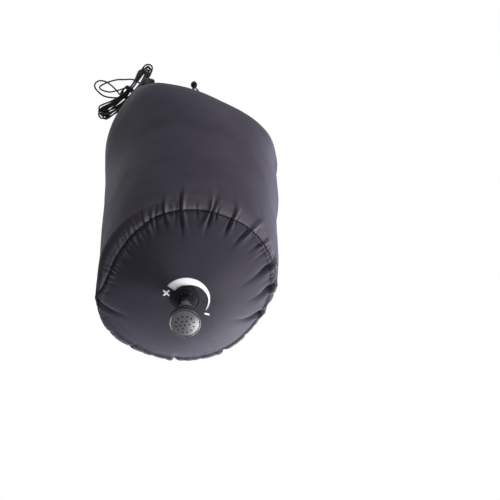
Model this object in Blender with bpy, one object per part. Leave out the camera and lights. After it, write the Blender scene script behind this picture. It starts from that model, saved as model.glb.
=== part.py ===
"""Camp shower bag: a roll-top water bag that hangs full, seen from below.

All lengths are in metres. The bag frame used while modelling has its origin at the middle
of the seam between wall and base, +Z up and the rolled top along X. Every object is then
moved so that the world origin is the hang point: the underside of the closed buckle.
"""
import math

import bmesh
import bpy
from mathutils import Vector

for thing in list(bpy.data.objects):
    bpy.data.objects.remove(thing)

# Fabric body
FABRIC = 0.0010            # coated nylon, modelled thicker than the cloth
GAP = 0.0003               # clearance between separate solids
SEAM_RADIUS = 0.0918       # seam between wall and base
WALL_BULGE = 0.0094        # how far the full wall stands out past the seam
EDGE_RISE = 0.0168         # height of the rounded edge above the seam
BASE_SAG = 0.0280          # how far the filled base bulges down
CLAMP_RADIUS = 0.0170      # flat middle of the base, held by the spout
ROLL_HEIGHT = 0.3655       # seam to the underside of the roll, at the middle
TOP_SHIFT = 0.0130         # the roll sits this far towards +X of the base
TOP_HALF = 0.0012          # half of the pinched wall under the roll
WALL_PULL = 0.3130         # length of the upright pull of the wall's curve
SHOULDER_REACH = 0.0120    # how far the ears swell past the roll
SHOULDER_DROP = 0.0400     # how far the ears' shoulder starts below the roll
SHOULDER_WIDTH_SHARE = 1.13
EAR_FOLLOW_SHARE = 0.6
RIM_TILT = 0.0085          # how far the seam lifts on its high side
RIM_HIGH_SIDE = -38.0      # degrees round from +X
RIM_TILT_HEIGHT = 0.2400   # the lift has died away at this height
WALL_COLUMNS = 48
EDGE_ROWS = 2
WALL_ROWS = 12
BASE_ROWS = 5

# Seams inside the bag
BINDING_WIDTH = 0.0080
BINDING_THICKNESS = 0.0012
SIDE_TAPE_WIDTH = 0.0160
SIDE_TAPE_THICKNESS = 0.0005
SIDE_TAPE_ROWS = (1, 10)   # first and last row of the wall that it covers

# Rolled top
ROLL_HALF = 0.1440         # middle to end, along the roll
ROLL_END_HEADING = 150.0   # degrees, direction of the roll at its end
ROLL_BEND_POWER = 3.0
ROLL_END_FREE = 0.0300     # length of the roll that stands free past the bag's ear
ROLL_FLAT = 0.0102         # half of the flat part of each turn
ROLL_SHEET = 0.0010        # the two layers of collar fabric that roll up together
ROLL_PITCH = 0.00145       # from one turn to the next
ROLL_TURNS = 2.25
ROLL_STATIONS = 20
ARC_STEPS = 3
STIFFENER_THICKNESS = 0.0012
STIFFENER_WIDTH = 0.0190

# Straps and buckle
STRAP_THICKNESS = 0.0016
STRAP_WIDTH = 0.0200
STRAP_TUCK_STATIONS = 2    # stations of the roll that hold the strap's end
STRAP_RETURN = 0.0180      # length folded back and stitched
BUCKLE_HALF = 0.0250
BUCKLE_HALF_WIDTH = 0.0140
BUCKLE_HALF_THICKNESS = 0.0042
BAR_RADIUS = 0.0018        # half of the square bar that holds the strap
BAR_CORNER_SHARE = 1.32
SLOT_LENGTH = 0.0050
SLOT_HALF_WIDTH = 0.0107
SOCKET_BODY_BACK = -0.0125
SOCKET_MOUTH = 0.0095
SOCKET_WALL = 0.0020
SOCKET_SKIN = 0.0013
WINDOW_BACK = -0.0080
WINDOW_LENGTH = 0.0105
WINDOW_HALF_HEIGHT = 0.0020
GUIDE_HALF_WIDTH = 0.0020
GUIDE_HALF_HEIGHT = 0.0016
GUIDE_TIP = -0.0090
PRONG_TIP = -0.0076
PRONG_PIVOT_Y = 0.0080
PRONG_PIVOT_X = 0.0072
PRONG_THICKNESS = 0.0020
PRONG_HALF_HEIGHT = 0.0022
PRONG_PAD_LENGTH = 0.0090
PRONG_PAD_REACH = 0.0025   # how far the pad stands out from the arm
PRONG_ROOT_RADIUS = 0.0016
BUCKLE_BEVEL = 0.0006
OVERRUN = 0.0020           # how far every cutter runs past its face

# Spout and seals
SPOUT_BORE = 0.0042
SPOUT_RADIUS = 0.0060
SPOUT_FLANGE_RADIUS = 0.0160
SPOUT_FLANGE_THICKNESS = 0.0020
SPOUT_DROP = 0.0240        # from the base fabric to the end of the spout
SEAT_CHAMFER = 0.0008
WASHER_THICKNESS = 0.0012
INNER_WASHER_RADIUS = 0.0150
OUTER_WASHER_RADIUS = 0.0142
NUT_RADIUS = 0.0155
NUT_FLANGE = 0.0022
NUT_BOSS_RADIUS = 0.0112
NUT_BOSS = 0.0035
NUT_NOTCHES = 6
NUT_NOTCH_RADIUS = 0.0016
ROUND_STEPS = 32

# Shower head
HEAD_CLEARANCE = 0.0006    # closed head to lock nut
NECK_WALL = 0.0025
NECK_END = 0.0290          # from the base fabric to the start of the bell
BELL_RADIUS = 0.0172
BELL_DROP = 0.0480         # from the base fabric to the rim's upper edge
FACE_DROP = 0.0545         # from the base fabric to the rim's lower edge
BELL_WALL = 0.0017
FACE_THICKNESS = 0.0016
FACE_DOME = 0.0018
FACE_LEDGE = 0.0012
HOLE_RADIUS = 0.00055
HOLE_RINGS = ((0.0, 1), (0.0050, 6), (0.0100, 12))
HOLE_SIDES = 6
RING_SECTION = 0.0005
RING_GROOVE_DEPTH = 0.0013
RING_GROOVE_HEIGHT = 0.0017
RING_DROP = 0.0160         # from the base fabric to the middle of the O-ring
PLUG_RADIUS = 0.0050
PLUG_THICKNESS = 0.0026
PLUG_HOLE = 0.0015
PIN_RADIUS = 0.0012
CARRIER_THICKNESS = 0.0016
CARRIER_RIM = 0.0011
CARRIER_HUB = 0.0024
CARRIER_ARM = 0.0014

# Cord
CORD = 0.0020              # diameter
BIGHT_X = -0.0100          # where the cord passes under the socket, from the hang point
BIGHT_BEND = 0.0026        # bend of the cord's middle round the socket's edges
KNOT_RADIUS = 0.0036
KNOT_BULGE = 0.0044
KNOT_LENGTH = 0.0085
KNOT_PLACE = (-0.0200, 0.0, 0.0850)
TAIL_LENGTH = 0.0075
TIP_LENGTH = 0.0050        # sealed end of the cord
TIP_RADIUS = 0.0012
CORD_SPREAD = 0.0013       # between cords that enter the knot side by side
HANK_LOOPS = 8
HANK_LAYERS = 4
LOOP_POINTS = 24
HANK_PITCH = 0.0027
HANK_INNER = 0.0014
HANK_HALF_LENGTH = 0.0532
HANK_START = 300.0         # degrees round the loop from the upper lobe's tip
LOBE_SWELL = 0.9
LOBE_ROUND = 1.3           # 1 is an oval's pointed lobe, 1.5 a blunt one
TIP_STEP = 1.3             # spacing of the loops at the tips against their pitch
CLIMB_TURNS = 0.26         # how much of a turn the climb to the next layer takes
HANK_FAN = 0.0050
UPPER_FAN_SHARES = (-0.8, -0.3, 0.1, 0.6)
LOWER_FAN_SHARES = (0.8, 0.3, -0.2, -1.0)
HANK_SPREAD = 0.0070
UPPER_SPREAD_SHARES = (-0.9, 0.0, -0.6, -1.0)
LOWER_SPREAD_SHARES = (0.0, 0.3, 0.1, -0.6)
HANK_UPPER = (-0.0948, 0.0021, 0.0360)
HANK_WAIST = (-0.1022, 0.0245, -0.0185)
HANK_LOWER = (-0.1230, 0.0485, -0.0621)
HANK_FLAT_TOWARDS = (0.29, 0.37, 0.88)
WRAP_TURNS = 3
WRAP_GAP = 0.0012
WRAP_PITCH = 0.0026


def material(name, colour, roughness, metallic=0.0):
    """Principled material with the piece's plain colour."""
    mat = bpy.data.materials.new(name)
    mat.use_nodes = True
    shader = mat.node_tree.nodes["Principled BSDF"]
    shader.inputs["Base Color"].default_value = (*colour, 1.0)
    shader.inputs["Roughness"].default_value = roughness
    shader.inputs["Metallic"].default_value = metallic
    mat.diffuse_color = (*colour, 1.0)
    return mat


# The roll's path: its heading grows from level in the middle to the end heading
def path_heading(arc):
    share = abs(arc) / ROLL_HALF
    return math.radians(ROLL_END_HEADING) * share ** ROLL_BEND_POWER


def path_point(arc, outward=0.0):
    """Point (x, z) on the roll's path, moved outward from the loop."""
    steps = 60
    length = abs(arc) / steps
    x = 0.0
    z = 0.0
    for i in range(steps):
        heading = path_heading((i + 0.5) * length)
        x += math.cos(heading) * length
        z += math.sin(heading) * length
    heading = path_heading(arc)
    x += outward * math.sin(heading)
    z -= outward * math.cos(heading)
    return math.copysign(x, arc), z


WALL_RADIUS = SEAM_RADIUS + WALL_BULGE
EAR_ARC = ROLL_HALF - ROLL_END_FREE
CORE_HALF = (STIFFENER_THICKNESS + STRAP_THICKNESS + 3 * GAP) / 2
ROLL_HALF_TURNS = round(ROLL_TURNS * 2)
TURNS_BELOW = (ROLL_HALF_TURNS - (ROLL_HALF_TURNS + 1) % 2) / 2
ROLL_OUTER = CORE_HALF + ROLL_SHEET + ROLL_PITCH * TURNS_BELOW
ROLL_MIDDLE = ROLL_HEIGHT + ROLL_OUTER + GAP
STRAP_OFFSET = -(CORE_HALF - GAP - STRAP_THICKNESS / 2)
STIFFENER_OFFSET = CORE_HALF - GAP - STIFFENER_THICKNESS / 2

# The strap runs straight on from the roll's end, over the buckle's bar and back
BAR_X = BUCKLE_HALF - BAR_RADIUS
WRAP_RADIUS = BAR_RADIUS * BAR_CORNER_SHARE + GAP + STRAP_THICKNESS / 2
END_X, END_Z = path_point(ROLL_HALF, STRAP_OFFSET)
END_ANGLE = math.radians(ROLL_END_HEADING)
STRAP_RUN = (END_X - WRAP_RADIUS * math.sin(END_ANGLE) - BAR_X) / -math.cos(END_ANGLE)
BAR_RISE = END_Z + STRAP_RUN * math.sin(END_ANGLE) + WRAP_RADIUS * math.cos(END_ANGLE)
BUCKLE_MIDDLE = ROLL_MIDDLE + BAR_RISE
HANG_HEIGHT = BUCKLE_MIDDLE - BUCKLE_HALF_THICKNESS
HANG_POINT = Vector((TOP_SHIFT, 0.0, HANG_HEIGHT))

FABRIC_LEVEL = -BASE_SAG
SPOUT_END = FABRIC_LEVEL - SPOUT_DROP
NUT_TOP = FABRIC_LEVEL - GAP - WASHER_THICKNESS - GAP
NUT_BOTTOM = NUT_TOP - NUT_FLANGE - NUT_BOSS
NECK_BORE = SPOUT_RADIUS + GAP
NECK_RADIUS = NECK_BORE + NECK_WALL
PLUG_TOP = SPOUT_END - GAP
CARRIER_TOP = PLUG_TOP - PLUG_THICKNESS - GAP
RIM_TOP = FABRIC_LEVEL - BELL_DROP
RIM_BOTTOM = FABRIC_LEVEL - FACE_DROP
FACE_RADIUS = BELL_RADIUS - BELL_WALL - GAP


def new_object(name, mesh, mat, origin=(0.0, 0.0, 0.0)):
    """Links an object whose origin is given in the bag frame."""
    thing = bpy.data.objects.new(name, mesh)
    bpy.context.scene.collection.objects.link(thing)
    mesh.materials.append(mat)
    thing.location = Vector(origin) - HANG_POINT
    return thing


def finish(name, bm, mat, origin=(0.0, 0.0, 0.0), smooth=40.0):
    """Turns a bmesh in the bag frame into a named object."""
    bmesh.ops.recalc_face_normals(bm, faces=bm.faces)
    bmesh.ops.translate(bm, verts=bm.verts, vec=-Vector(origin))
    mesh = bpy.data.meshes.new(name)
    bm.to_mesh(mesh)
    bm.free()
    if smooth:
        mesh.shade_smooth()
        mesh.set_sharp_from_angle(angle=math.radians(smooth))
    return new_object(name, mesh, mat, origin)


def skin(bm, grid, closed=True):
    """Quads over a grid of vertices, closed across its columns or not."""
    for lower, upper in zip(grid, grid[1:]):
        count = len(lower)
        for j in range(count if closed else count - 1):
            k = (j + 1) % count
            bm.faces.new((lower[j], lower[k], upper[k], upper[j]))


def rim(bm, first, second, closed=True):
    skin(bm, [first, second], closed)


def turned(name, profile, mat, centre=(0.0, 0.0), steps=ROUND_STEPS, smooth=40.0, shape=None):
    """Solid turned about Z from a closed profile of (radius, z) points, then shaped."""
    bm = bmesh.new()
    rings = []
    for radius, z in profile:
        if radius == 0.0:
            rings.append([bm.verts.new((centre[0], centre[1], z))])
            continue
        ring = []
        for j in range(steps):
            angle = math.tau * j / steps
            x = centre[0] + radius * math.cos(angle)
            y = centre[1] + radius * math.sin(angle)
            ring.append(bm.verts.new((x, y, z)))
        rings.append(ring)
    for first, second in zip(rings, rings[1:] + rings[:1]):
        for j in range(steps):
            k = (j + 1) % steps
            if len(first) == 1 and len(second) == 1:
                continue
            if len(first) == 1:
                bm.faces.new((first[0], second[j], second[k]))
            elif len(second) == 1:
                bm.faces.new((first[j], first[k], second[0]))
            else:
                bm.faces.new((first[j], first[k], second[k], second[j]))
    if shape:
        shape(bm)
    return finish(name, bm, mat, (centre[0], centre[1], profile[0][1]), smooth)


def hang_unevenly(bm):
    """Lifts one side of the seam, less towards the spout and up the wall."""
    high = math.radians(RIM_HIGH_SIDE)
    for vert in bm.verts:
        x, y, z = vert.co
        radius = math.hypot(x, y)
        outward = min(1.0, max(0.0, (radius - CLAMP_RADIUS) / (SEAM_RADIUS - CLAMP_RADIUS)))
        upward = min(1.0, max(0.0, 1 - z / RIM_TILT_HEIGHT))
        towards = (x * math.cos(high) + y * math.sin(high)) / max(radius, GAP)
        vert.co.z += RIM_TILT * towards * outward ** 2 * upward ** 2


# Wall of the bag
def wall_point(angle, height_share, inset):
    """Point on the wall: a Bezier curve from the rounded edge up to the roll."""
    cosine = math.cos(angle)
    sine = math.sin(angle)
    turn = math.atan2(sine, cosine)
    from_end = min(abs(turn), math.pi - abs(turn)) / (math.pi / 2)
    across = math.copysign(1.0, math.pi / 2 - abs(turn)) * (1 - from_end)
    arc = (EAR_ARC - inset) * math.sin(across * math.pi / 2)
    x_top, z_top = path_point(arc, ROLL_OUTER + GAP + inset)
    x_top += TOP_SHIFT
    z_top += ROLL_MIDDLE
    side = min(1.0, abs(sine) * 8) * math.copysign(1.0, sine) if abs(sine) > 1e-9 else 0.0
    pinch = (TOP_HALF - inset) * side
    middle = abs(sine)
    radius = WALL_RADIUS - inset
    start = Vector((radius * cosine, radius * sine, EDGE_RISE))
    lift = WALL_PULL + (z_top - ROLL_HEIGHT) * EAR_FOLLOW_SHARE
    pull = start + Vector((0.0, 0.0, lift))
    swell = SHOULDER_REACH * math.copysign(cosine * cosine, cosine)
    drop = SHOULDER_DROP * (1 - middle)
    shoulder = Vector((x_top + swell, radius * sine * SHOULDER_WIDTH_SHARE, z_top - drop))
    end = Vector((x_top, pinch, z_top))
    v = height_share
    u = 1 - v
    return u * u * u * start + 3 * u * u * v * pull + 3 * u * v * v * shoulder + v * v * v * end


def wall_grid(bm, inset):
    rows = []
    for i in range(EDGE_ROWS):
        turn = math.pi / 2 * i / EDGE_ROWS
        radius = SEAM_RADIUS + (WALL_RADIUS - SEAM_RADIUS) * math.sin(turn) - inset
        z = EDGE_RISE * (1 - math.cos(turn)) + GAP / 2
        ring = []
        for j in range(WALL_COLUMNS):
            angle = math.tau * j / WALL_COLUMNS
            ring.append(bm.verts.new((radius * math.cos(angle), radius * math.sin(angle), z)))
        rows.append(ring)
    for i in range(WALL_ROWS + 1):
        ring = []
        for j in range(WALL_COLUMNS):
            angle = math.tau * j / WALL_COLUMNS
            ring.append(bm.verts.new(wall_point(angle, i / WALL_ROWS, inset)))
        rows.append(ring)
    skin(bm, rows)
    top = rows[-1]
    count = WALL_COLUMNS
    for j in range(count // 2):
        near = [top[j], top[j + 1], top[count - j - 1], top[(count - j) % count]]
        corners = list(dict.fromkeys(near))
        bm.faces.new(corners)
    return rows


def bag_wall(mat):
    bm = bmesh.new()
    outer = wall_grid(bm, 0.0)
    inner = wall_grid(bm, FABRIC)
    rim(bm, outer[0], inner[0])
    hang_unevenly(bm)
    return finish("bag_wall", bm, mat)


# Base panel
def base_level(radius):
    """Height of the base's outer face."""
    share = max(0.0, (radius - CLAMP_RADIUS) / (SEAM_RADIUS - CLAMP_RADIUS))
    return FABRIC_LEVEL + (BASE_SAG - GAP / 2) * share ** 2


def base_panel(mat):
    slope = 2 * BASE_SAG / (SEAM_RADIUS - CLAMP_RADIUS)
    upright = FABRIC * 1.2
    inner_rim = SEAM_RADIUS - upright / slope
    hole = SPOUT_RADIUS + GAP
    outer = [(SEAM_RADIUS, -GAP / 2)]
    inner = []
    for i in range(BASE_ROWS + 1):
        share = i / BASE_ROWS
        radius = inner_rim + (CLAMP_RADIUS - inner_rim) * share
        outer.append((radius, base_level(radius)))
        inner.append((radius, min(base_level(radius) + upright * (1 - share) + FABRIC * share, -GAP / 2)))
    outer.append((hole, FABRIC_LEVEL))
    inner.append((hole, FABRIC_LEVEL + FABRIC))
    return turned("base_panel", outer + inner[::-1], mat, steps=WALL_COLUMNS, shape=hang_unevenly)


def seam_binding(mat):
    outer = SEAM_RADIUS - FABRIC - GAP
    inner = outer - BINDING_THICKNESS
    low = GAP / 2
    high = low + BINDING_WIDTH
    bend = BINDING_THICKNESS / 4
    profile = [(outer, low), (outer, high - bend), (outer - bend * 2, high)]
    profile += [(inner, high - bend), (inner, low)]
    return turned("seam_binding", profile, mat, steps=WALL_COLUMNS, shape=hang_unevenly)


def side_seam_tape(mat):
    """Tape inside the wall's upright seam, at the back of the bag."""
    bm = bmesh.new()
    layers = []
    low, high = SIDE_TAPE_ROWS
    column = math.tau / WALL_COLUMNS
    reach = SIDE_TAPE_WIDTH / 2 / (WALL_RADIUS * column)
    for inset in (FABRIC + GAP, FABRIC + GAP + SIDE_TAPE_THICKNESS):
        rows = []
        for i in range(low, high + 1):
            middle = wall_point(math.pi / 2, i / WALL_ROWS, inset)
            row = []
            for j in (-1, 0, 1):
                beside = wall_point(math.pi / 2 + j * column, i / WALL_ROWS, inset)
                row.append(bm.verts.new(middle.lerp(beside, reach)))
            rows.append(row)
        skin(bm, rows, closed=False)
        layers.append(rows)
    first, second = layers
    rim(bm, first[0], second[0], closed=False)
    rim(bm, first[-1], second[-1], closed=False)
    rim(bm, [row[0] for row in first], [row[0] for row in second], closed=False)
    rim(bm, [row[-1] for row in first], [row[-1] for row in second], closed=False)
    hang_unevenly(bm)
    return finish("side_seam_tape", bm, mat)


# Rolled top
def spiral_section():
    """Both faces of the rolled sheet in the cross-section, as (y, outward) points."""
    faces = []
    for side in (0.0, ROLL_SHEET):
        points = [(0.0, -(CORE_HALF + side))]
        for half in range(ROLL_HALF_TURNS):
            sign = 1 if half % 2 == 0 else -1
            for k in range(ARC_STEPS + 1):
                turn = half + k / ARC_STEPS
                radius = CORE_HALF + side + ROLL_PITCH * turn / 2
                angle = math.pi * k / ARC_STEPS
                y = sign * (ROLL_FLAT + radius * math.sin(angle))
                points.append((y, -sign * radius * math.cos(angle)))
        last = CORE_HALF + side + ROLL_PITCH * ROLL_HALF_TURNS / 2
        sign = 1 if ROLL_HALF_TURNS % 2 == 0 else -1
        points.append((0.0, -sign * last))
        faces.append(points)
    return faces


def swept(name, sections, mat, smooth=40.0):
    """Solid through open strips of cross-section: each section is (face, face)."""
    bm = bmesh.new()
    rings = []
    for first, second in sections:
        rings.append([bm.verts.new(p) for p in first] + [bm.verts.new(p) for p in reversed(second)])
    skin(bm, rings)
    half = len(rings[0]) // 2
    for ring in (rings[0], rings[-1]):
        first = ring[:half]
        second = ring[half:][::-1]
        skin(bm, [first, second], closed=False)
    return finish(name, bm, mat, smooth=smooth)


def roll_stations():
    """Places along the roll, closer together where it bends."""
    shares = [2 * i / ROLL_STATIONS - 1 for i in range(ROLL_STATIONS + 1)]
    return [ROLL_HALF * math.copysign(abs(share) ** 0.75, share) for share in shares]


def along_path(arc, y, outward):
    x, z = path_point(arc, outward)
    return Vector((x + TOP_SHIFT, y, z + ROLL_MIDDLE))


def rolled_top(mat):
    first, second = spiral_section()
    sections = []
    for arc in roll_stations():
        sections.append([[along_path(arc, y, r) for y, r in face] for face in (first, second)])
    return swept("rolled_top", sections, mat)


def band(name, arcs, offset, half_width, thickness, mat):
    """Flat strip that lies along the roll's path."""
    sections = []
    for arc in arcs:
        faces = []
        for side in (-thickness / 2, thickness / 2):
            faces.append([along_path(arc, y, offset + side) for y in (-half_width, half_width)])
        sections.append(faces)
    return swept(name, sections, mat)


def stiffener_strip(mat):
    arcs = roll_stations()[1:-1]
    return band("stiffener_strip", arcs, STIFFENER_OFFSET, STIFFENER_WIDTH / 2, STIFFENER_THICKNESS, mat)


# Straps: a strip of webbing along a line in the XZ plane, with an even thickness
def strap_line():
    """Centre line for the +X strap, from inside the roll to the folded end."""
    points = []
    for arc in roll_stations()[-1 - STRAP_TUCK_STATIONS:]:
        x, z = path_point(arc, STRAP_OFFSET)
        points.append(Vector((x, z + ROLL_MIDDLE)))
    along = Vector((math.cos(END_ANGLE), math.sin(END_ANGLE)))
    out = Vector((math.sin(END_ANGLE), -math.cos(END_ANGLE)))
    bar = Vector((BAR_X, BUCKLE_MIDDLE))
    for i in range(9):
        turn = math.pi * i / 8
        points.append(bar + WRAP_RADIUS * (out * math.cos(turn) + along * math.sin(turn)))
    near = STRAP_THICKNESS + GAP * 1.5 - WRAP_RADIUS
    settle = STRAP_RETURN * 0.6
    points.append(bar - along * settle + out * -near)
    points.append(bar - along * STRAP_RETURN + out * -near)
    return points


def strap(name, sign, mat):
    line = strap_line()
    offsets = []
    for i, point in enumerate(line):
        before = (point - line[i - 1]).normalized() if i else None
        after = (line[i + 1] - point).normalized() if i + 1 < len(line) else None
        direction = ((before or after) + (after or before)).normalized()
        stretch = 1 / max(0.5, direction.dot(after or before))
        offsets.append(Vector((direction.y, -direction.x)) * stretch * STRAP_THICKNESS / 2)
    sections = []
    for y in (-STRAP_WIDTH / 2, STRAP_WIDTH / 2):
        faces = []
        for side in (-1, 1):
            face = []
            for point, offset in zip(line, offsets):
                spot = point + side * offset
                face.append(Vector((sign * spot.x + TOP_SHIFT, y, spot.y)))
            faces.append(face)
        sections.append(faces)
    return swept(name, sections, mat)


# Buckle: placed about the hang point's x and the buckle's middle height
BUCKLE_SECTION = ((-BUCKLE_HALF_WIDTH, BUCKLE_HALF_WIDTH), (-BUCKLE_HALF_THICKNESS, BUCKLE_HALF_THICKNESS))
SLOT_Y = (-SLOT_HALF_WIDTH, SLOT_HALF_WIDTH)


def block(bm, low, high):
    """Box between two corners."""
    corners = [(low[0] if i & 1 else high[0], low[1] if i & 2 else high[1], low[2] if i & 4 else high[2])
               for i in range(8)]
    verts = [bm.verts.new(c) for c in corners]
    for face in ((0, 1, 3, 2), (4, 6, 7, 5), (0, 4, 5, 1), (2, 3, 7, 6), (0, 2, 6, 4), (1, 5, 7, 3)):
        bm.faces.new([verts[i] for i in face])


def in_buckle(x, y, z):
    return (x + TOP_SHIFT, y, z + BUCKLE_MIDDLE)


def buckle_box(bm, x, y, z):
    """Box over ranges in the buckle's own axes."""
    block(bm, in_buckle(x[0], y[0], z[0]), in_buckle(x[1], y[1], z[1]))


def add_bevel(thing, width, segments=1):
    bevel = thing.modifiers.new("bevel", "BEVEL")
    bevel.width = width
    bevel.segments = segments
    bevel.limit_method = "ANGLE"
    bevel.angle_limit = math.radians(40)
    bevel.use_clamp_overlap = True


def cut(thing, name, boxes, mat, operation="DIFFERENCE"):
    """Boolean with one hidden object made of boxes that don't touch."""
    bm = bmesh.new()
    for x, y, z in boxes:
        buckle_box(bm, x, y, z)
    cutter = finish(name, bm, mat, smooth=0)
    cutter.hide_render = True
    cutter.display_type = "WIRE"
    boolean = thing.modifiers.new(name, "BOOLEAN")
    boolean.operation = operation
    boolean.solver = "EXACT"
    boolean.object = cutter


def slot_range(sign):
    near = BAR_X - BAR_RADIUS - SLOT_LENGTH
    far = BAR_X - BAR_RADIUS
    return (sign * near, sign * far)


def buckle_socket(mat):
    bm = bmesh.new()
    full = (-BUCKLE_HALF, SOCKET_MOUTH)
    buckle_box(bm, full, *BUCKLE_SECTION)
    socket = finish("buckle_socket", bm, mat, smooth=0)
    inner_y = BUCKLE_HALF_WIDTH - SOCKET_WALL
    inner_z = BUCKLE_HALF_THICKNESS - SOCKET_SKIN
    hollow_x = (SOCKET_BODY_BACK + SOCKET_WALL, SOCKET_MOUTH + OVERRUN)
    cut(socket, "socket_hollow_cut", [(hollow_x, (-inner_y, inner_y), (-inner_z, inner_z))], mat)
    past = BUCKLE_HALF_THICKNESS + OVERRUN
    cut(socket, "socket_slot_cut", [(slot_range(-1), SLOT_Y, (-past, past))], mat)
    side = BUCKLE_HALF_WIDTH + OVERRUN
    window_x = (WINDOW_BACK, WINDOW_BACK + WINDOW_LENGTH)
    window_z = (-WINDOW_HALF_HEIGHT, WINDOW_HALF_HEIGHT)
    cut(socket, "socket_window_cut", [(window_x, (-side, side), window_z)], mat)
    bar_end = (-BUCKLE_HALF - OVERRUN, -BAR_X + BAR_RADIUS)
    thin = [(bar_end, SLOT_Y, (s * BAR_RADIUS, s * past)) for s in (-1, 1)]
    cut(socket, "socket_bar_cut", thin, mat)
    add_bevel(socket, BUCKLE_BEVEL)
    return socket


def buckle_plug(mat):
    bm = bmesh.new()
    base_x = (SOCKET_MOUTH + GAP, BUCKLE_HALF)
    buckle_box(bm, base_x, *BUCKLE_SECTION)
    plug = finish("buckle_plug", bm, mat, smooth=0)
    guide_x = (GUIDE_TIP, SOCKET_MOUTH + OVERRUN)
    guide = (guide_x, (-GUIDE_HALF_WIDTH, GUIDE_HALF_WIDTH), (-GUIDE_HALF_HEIGHT, GUIDE_HALF_HEIGHT))
    ear_y = PRONG_PIVOT_Y
    ears = []
    for s in (-1, 1):
        low = s * ear_y - PRONG_THICKNESS
        high = s * ear_y + PRONG_THICKNESS
        inner_x = PRONG_PIVOT_X + PRONG_ROOT_RADIUS + GAP
        ear_x = (inner_x, SOCKET_MOUTH + OVERRUN)
        ears.append((ear_x, (low, high), (-PRONG_HALF_HEIGHT, PRONG_HALF_HEIGHT)))
    cut(plug, "plug_guide_join", [guide] + ears, mat, "UNION")
    past = BUCKLE_HALF_THICKNESS + OVERRUN
    cut(plug, "plug_slot_cut", [(slot_range(1), SLOT_Y, (-past, past))], mat)
    bar_end = (BAR_X - BAR_RADIUS, BUCKLE_HALF + OVERRUN)
    thin = [(bar_end, SLOT_Y, (s * BAR_RADIUS, s * past)) for s in (-1, 1)]
    cut(plug, "plug_bar_cut", thin, mat)
    add_bevel(plug, BUCKLE_BEVEL)
    return plug


def prong_outline():
    """Outline of one prong about its pivot, along -X, pad on its +Y side."""
    length = PRONG_PIVOT_X - PRONG_TIP
    pad_start = length - PRONG_PAD_LENGTH
    arm = PRONG_THICKNESS / 2
    points = [(PRONG_ROOT_RADIUS * math.cos(math.radians(a)), PRONG_ROOT_RADIUS * math.sin(math.radians(a)))
              for a in (-120, -75, -30, 0, 30, 75, 120)]
    points.append((-pad_start, arm))
    points.append((-pad_start - PRONG_THICKNESS / 2, arm + PRONG_PAD_REACH))
    points.append((-length + PRONG_THICKNESS, arm + PRONG_PAD_REACH))
    points.append((-length, arm / 2))
    points.append((-length + PRONG_THICKNESS / 4, -arm))
    return points


def buckle_prong(name, side, mat):
    bm = bmesh.new()
    origin = in_buckle(PRONG_PIVOT_X, side * PRONG_PIVOT_Y, 0.0)
    layers = []
    for z in (-PRONG_HALF_HEIGHT, PRONG_HALF_HEIGHT):
        layer = []
        for x, y in prong_outline():
            layer.append(bm.verts.new((origin[0] + x, origin[1] + side * y, origin[2] + z)))
        layers.append(layer)
    skin(bm, layers)
    bm.faces.new(layers[0])
    bm.faces.new(layers[1])
    return finish(name, bm, mat, origin, smooth=30)


# Spout, seals and lock nut
def spout(mat):
    flange_low = FABRIC_LEVEL + FABRIC + GAP + WASHER_THICKNESS + GAP
    flange_high = flange_low + SPOUT_FLANGE_THICKNESS
    edge = SPOUT_FLANGE_THICKNESS / 4
    profile = [
        (SPOUT_BORE, flange_high), (SPOUT_FLANGE_RADIUS - edge, flange_high),
        (SPOUT_FLANGE_RADIUS, flange_high - edge), (SPOUT_FLANGE_RADIUS, flange_low),
        (SPOUT_RADIUS, flange_low), (SPOUT_RADIUS, SPOUT_END + SEAT_CHAMFER),
        (SPOUT_RADIUS - SEAT_CHAMFER, SPOUT_END), (SPOUT_BORE, SPOUT_END),
    ]
    return turned("spout", profile, mat)


def washer(name, top, inner, outer, thickness, mat):
    bulge = thickness / 8
    profile = [(inner, top), (outer - bulge, top), (outer, top - thickness / 2),
               (outer - bulge, top - thickness), (inner, top - thickness)]
    return turned(name, profile, mat)


def lock_nut(mat):
    """Stepped nut with six finger notches round its boss."""
    step = NUT_TOP - NUT_FLANGE
    edge = NUT_FLANGE / 4
    bore = SPOUT_RADIUS + GAP
    profile = [(bore, NUT_TOP), (NUT_RADIUS - edge, NUT_TOP), (NUT_RADIUS, NUT_TOP - edge),
               (NUT_RADIUS, step + edge * 2), (NUT_RADIUS - edge * 2, step), (NUT_BOSS_RADIUS, step),
               (NUT_BOSS_RADIUS, NUT_BOTTOM + edge), (NUT_BOSS_RADIUS - edge, NUT_BOTTOM),
               (bore, NUT_BOTTOM)]
    nut = turned("lock_nut", profile, mat)
    bm = bmesh.new()
    depth = NUT_BOSS + OVERRUN
    for i in range(NUT_NOTCHES):
        angle = math.tau * i / NUT_NOTCHES
        tube = bmesh.ops.create_cone(bm, cap_ends=True, segments=12, radius1=NUT_NOTCH_RADIUS,
                                     radius2=NUT_NOTCH_RADIUS, depth=depth)
        reach = NUT_BOSS_RADIUS + NUT_NOTCH_RADIUS / 3
        spot = (reach * math.cos(angle), reach * math.sin(angle), step - GAP - depth / 2)
        bmesh.ops.translate(bm, verts=tube["verts"], vec=spot)
    cutter = finish("nut_notch_cut", bm, mat, smooth=0)
    cutter.hide_render = True
    cutter.display_type = "WIRE"
    boolean = nut.modifiers.new("notches", "BOOLEAN")
    boolean.operation = "DIFFERENCE"
    boolean.solver = "EXACT"
    boolean.object = cutter
    return nut


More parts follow.
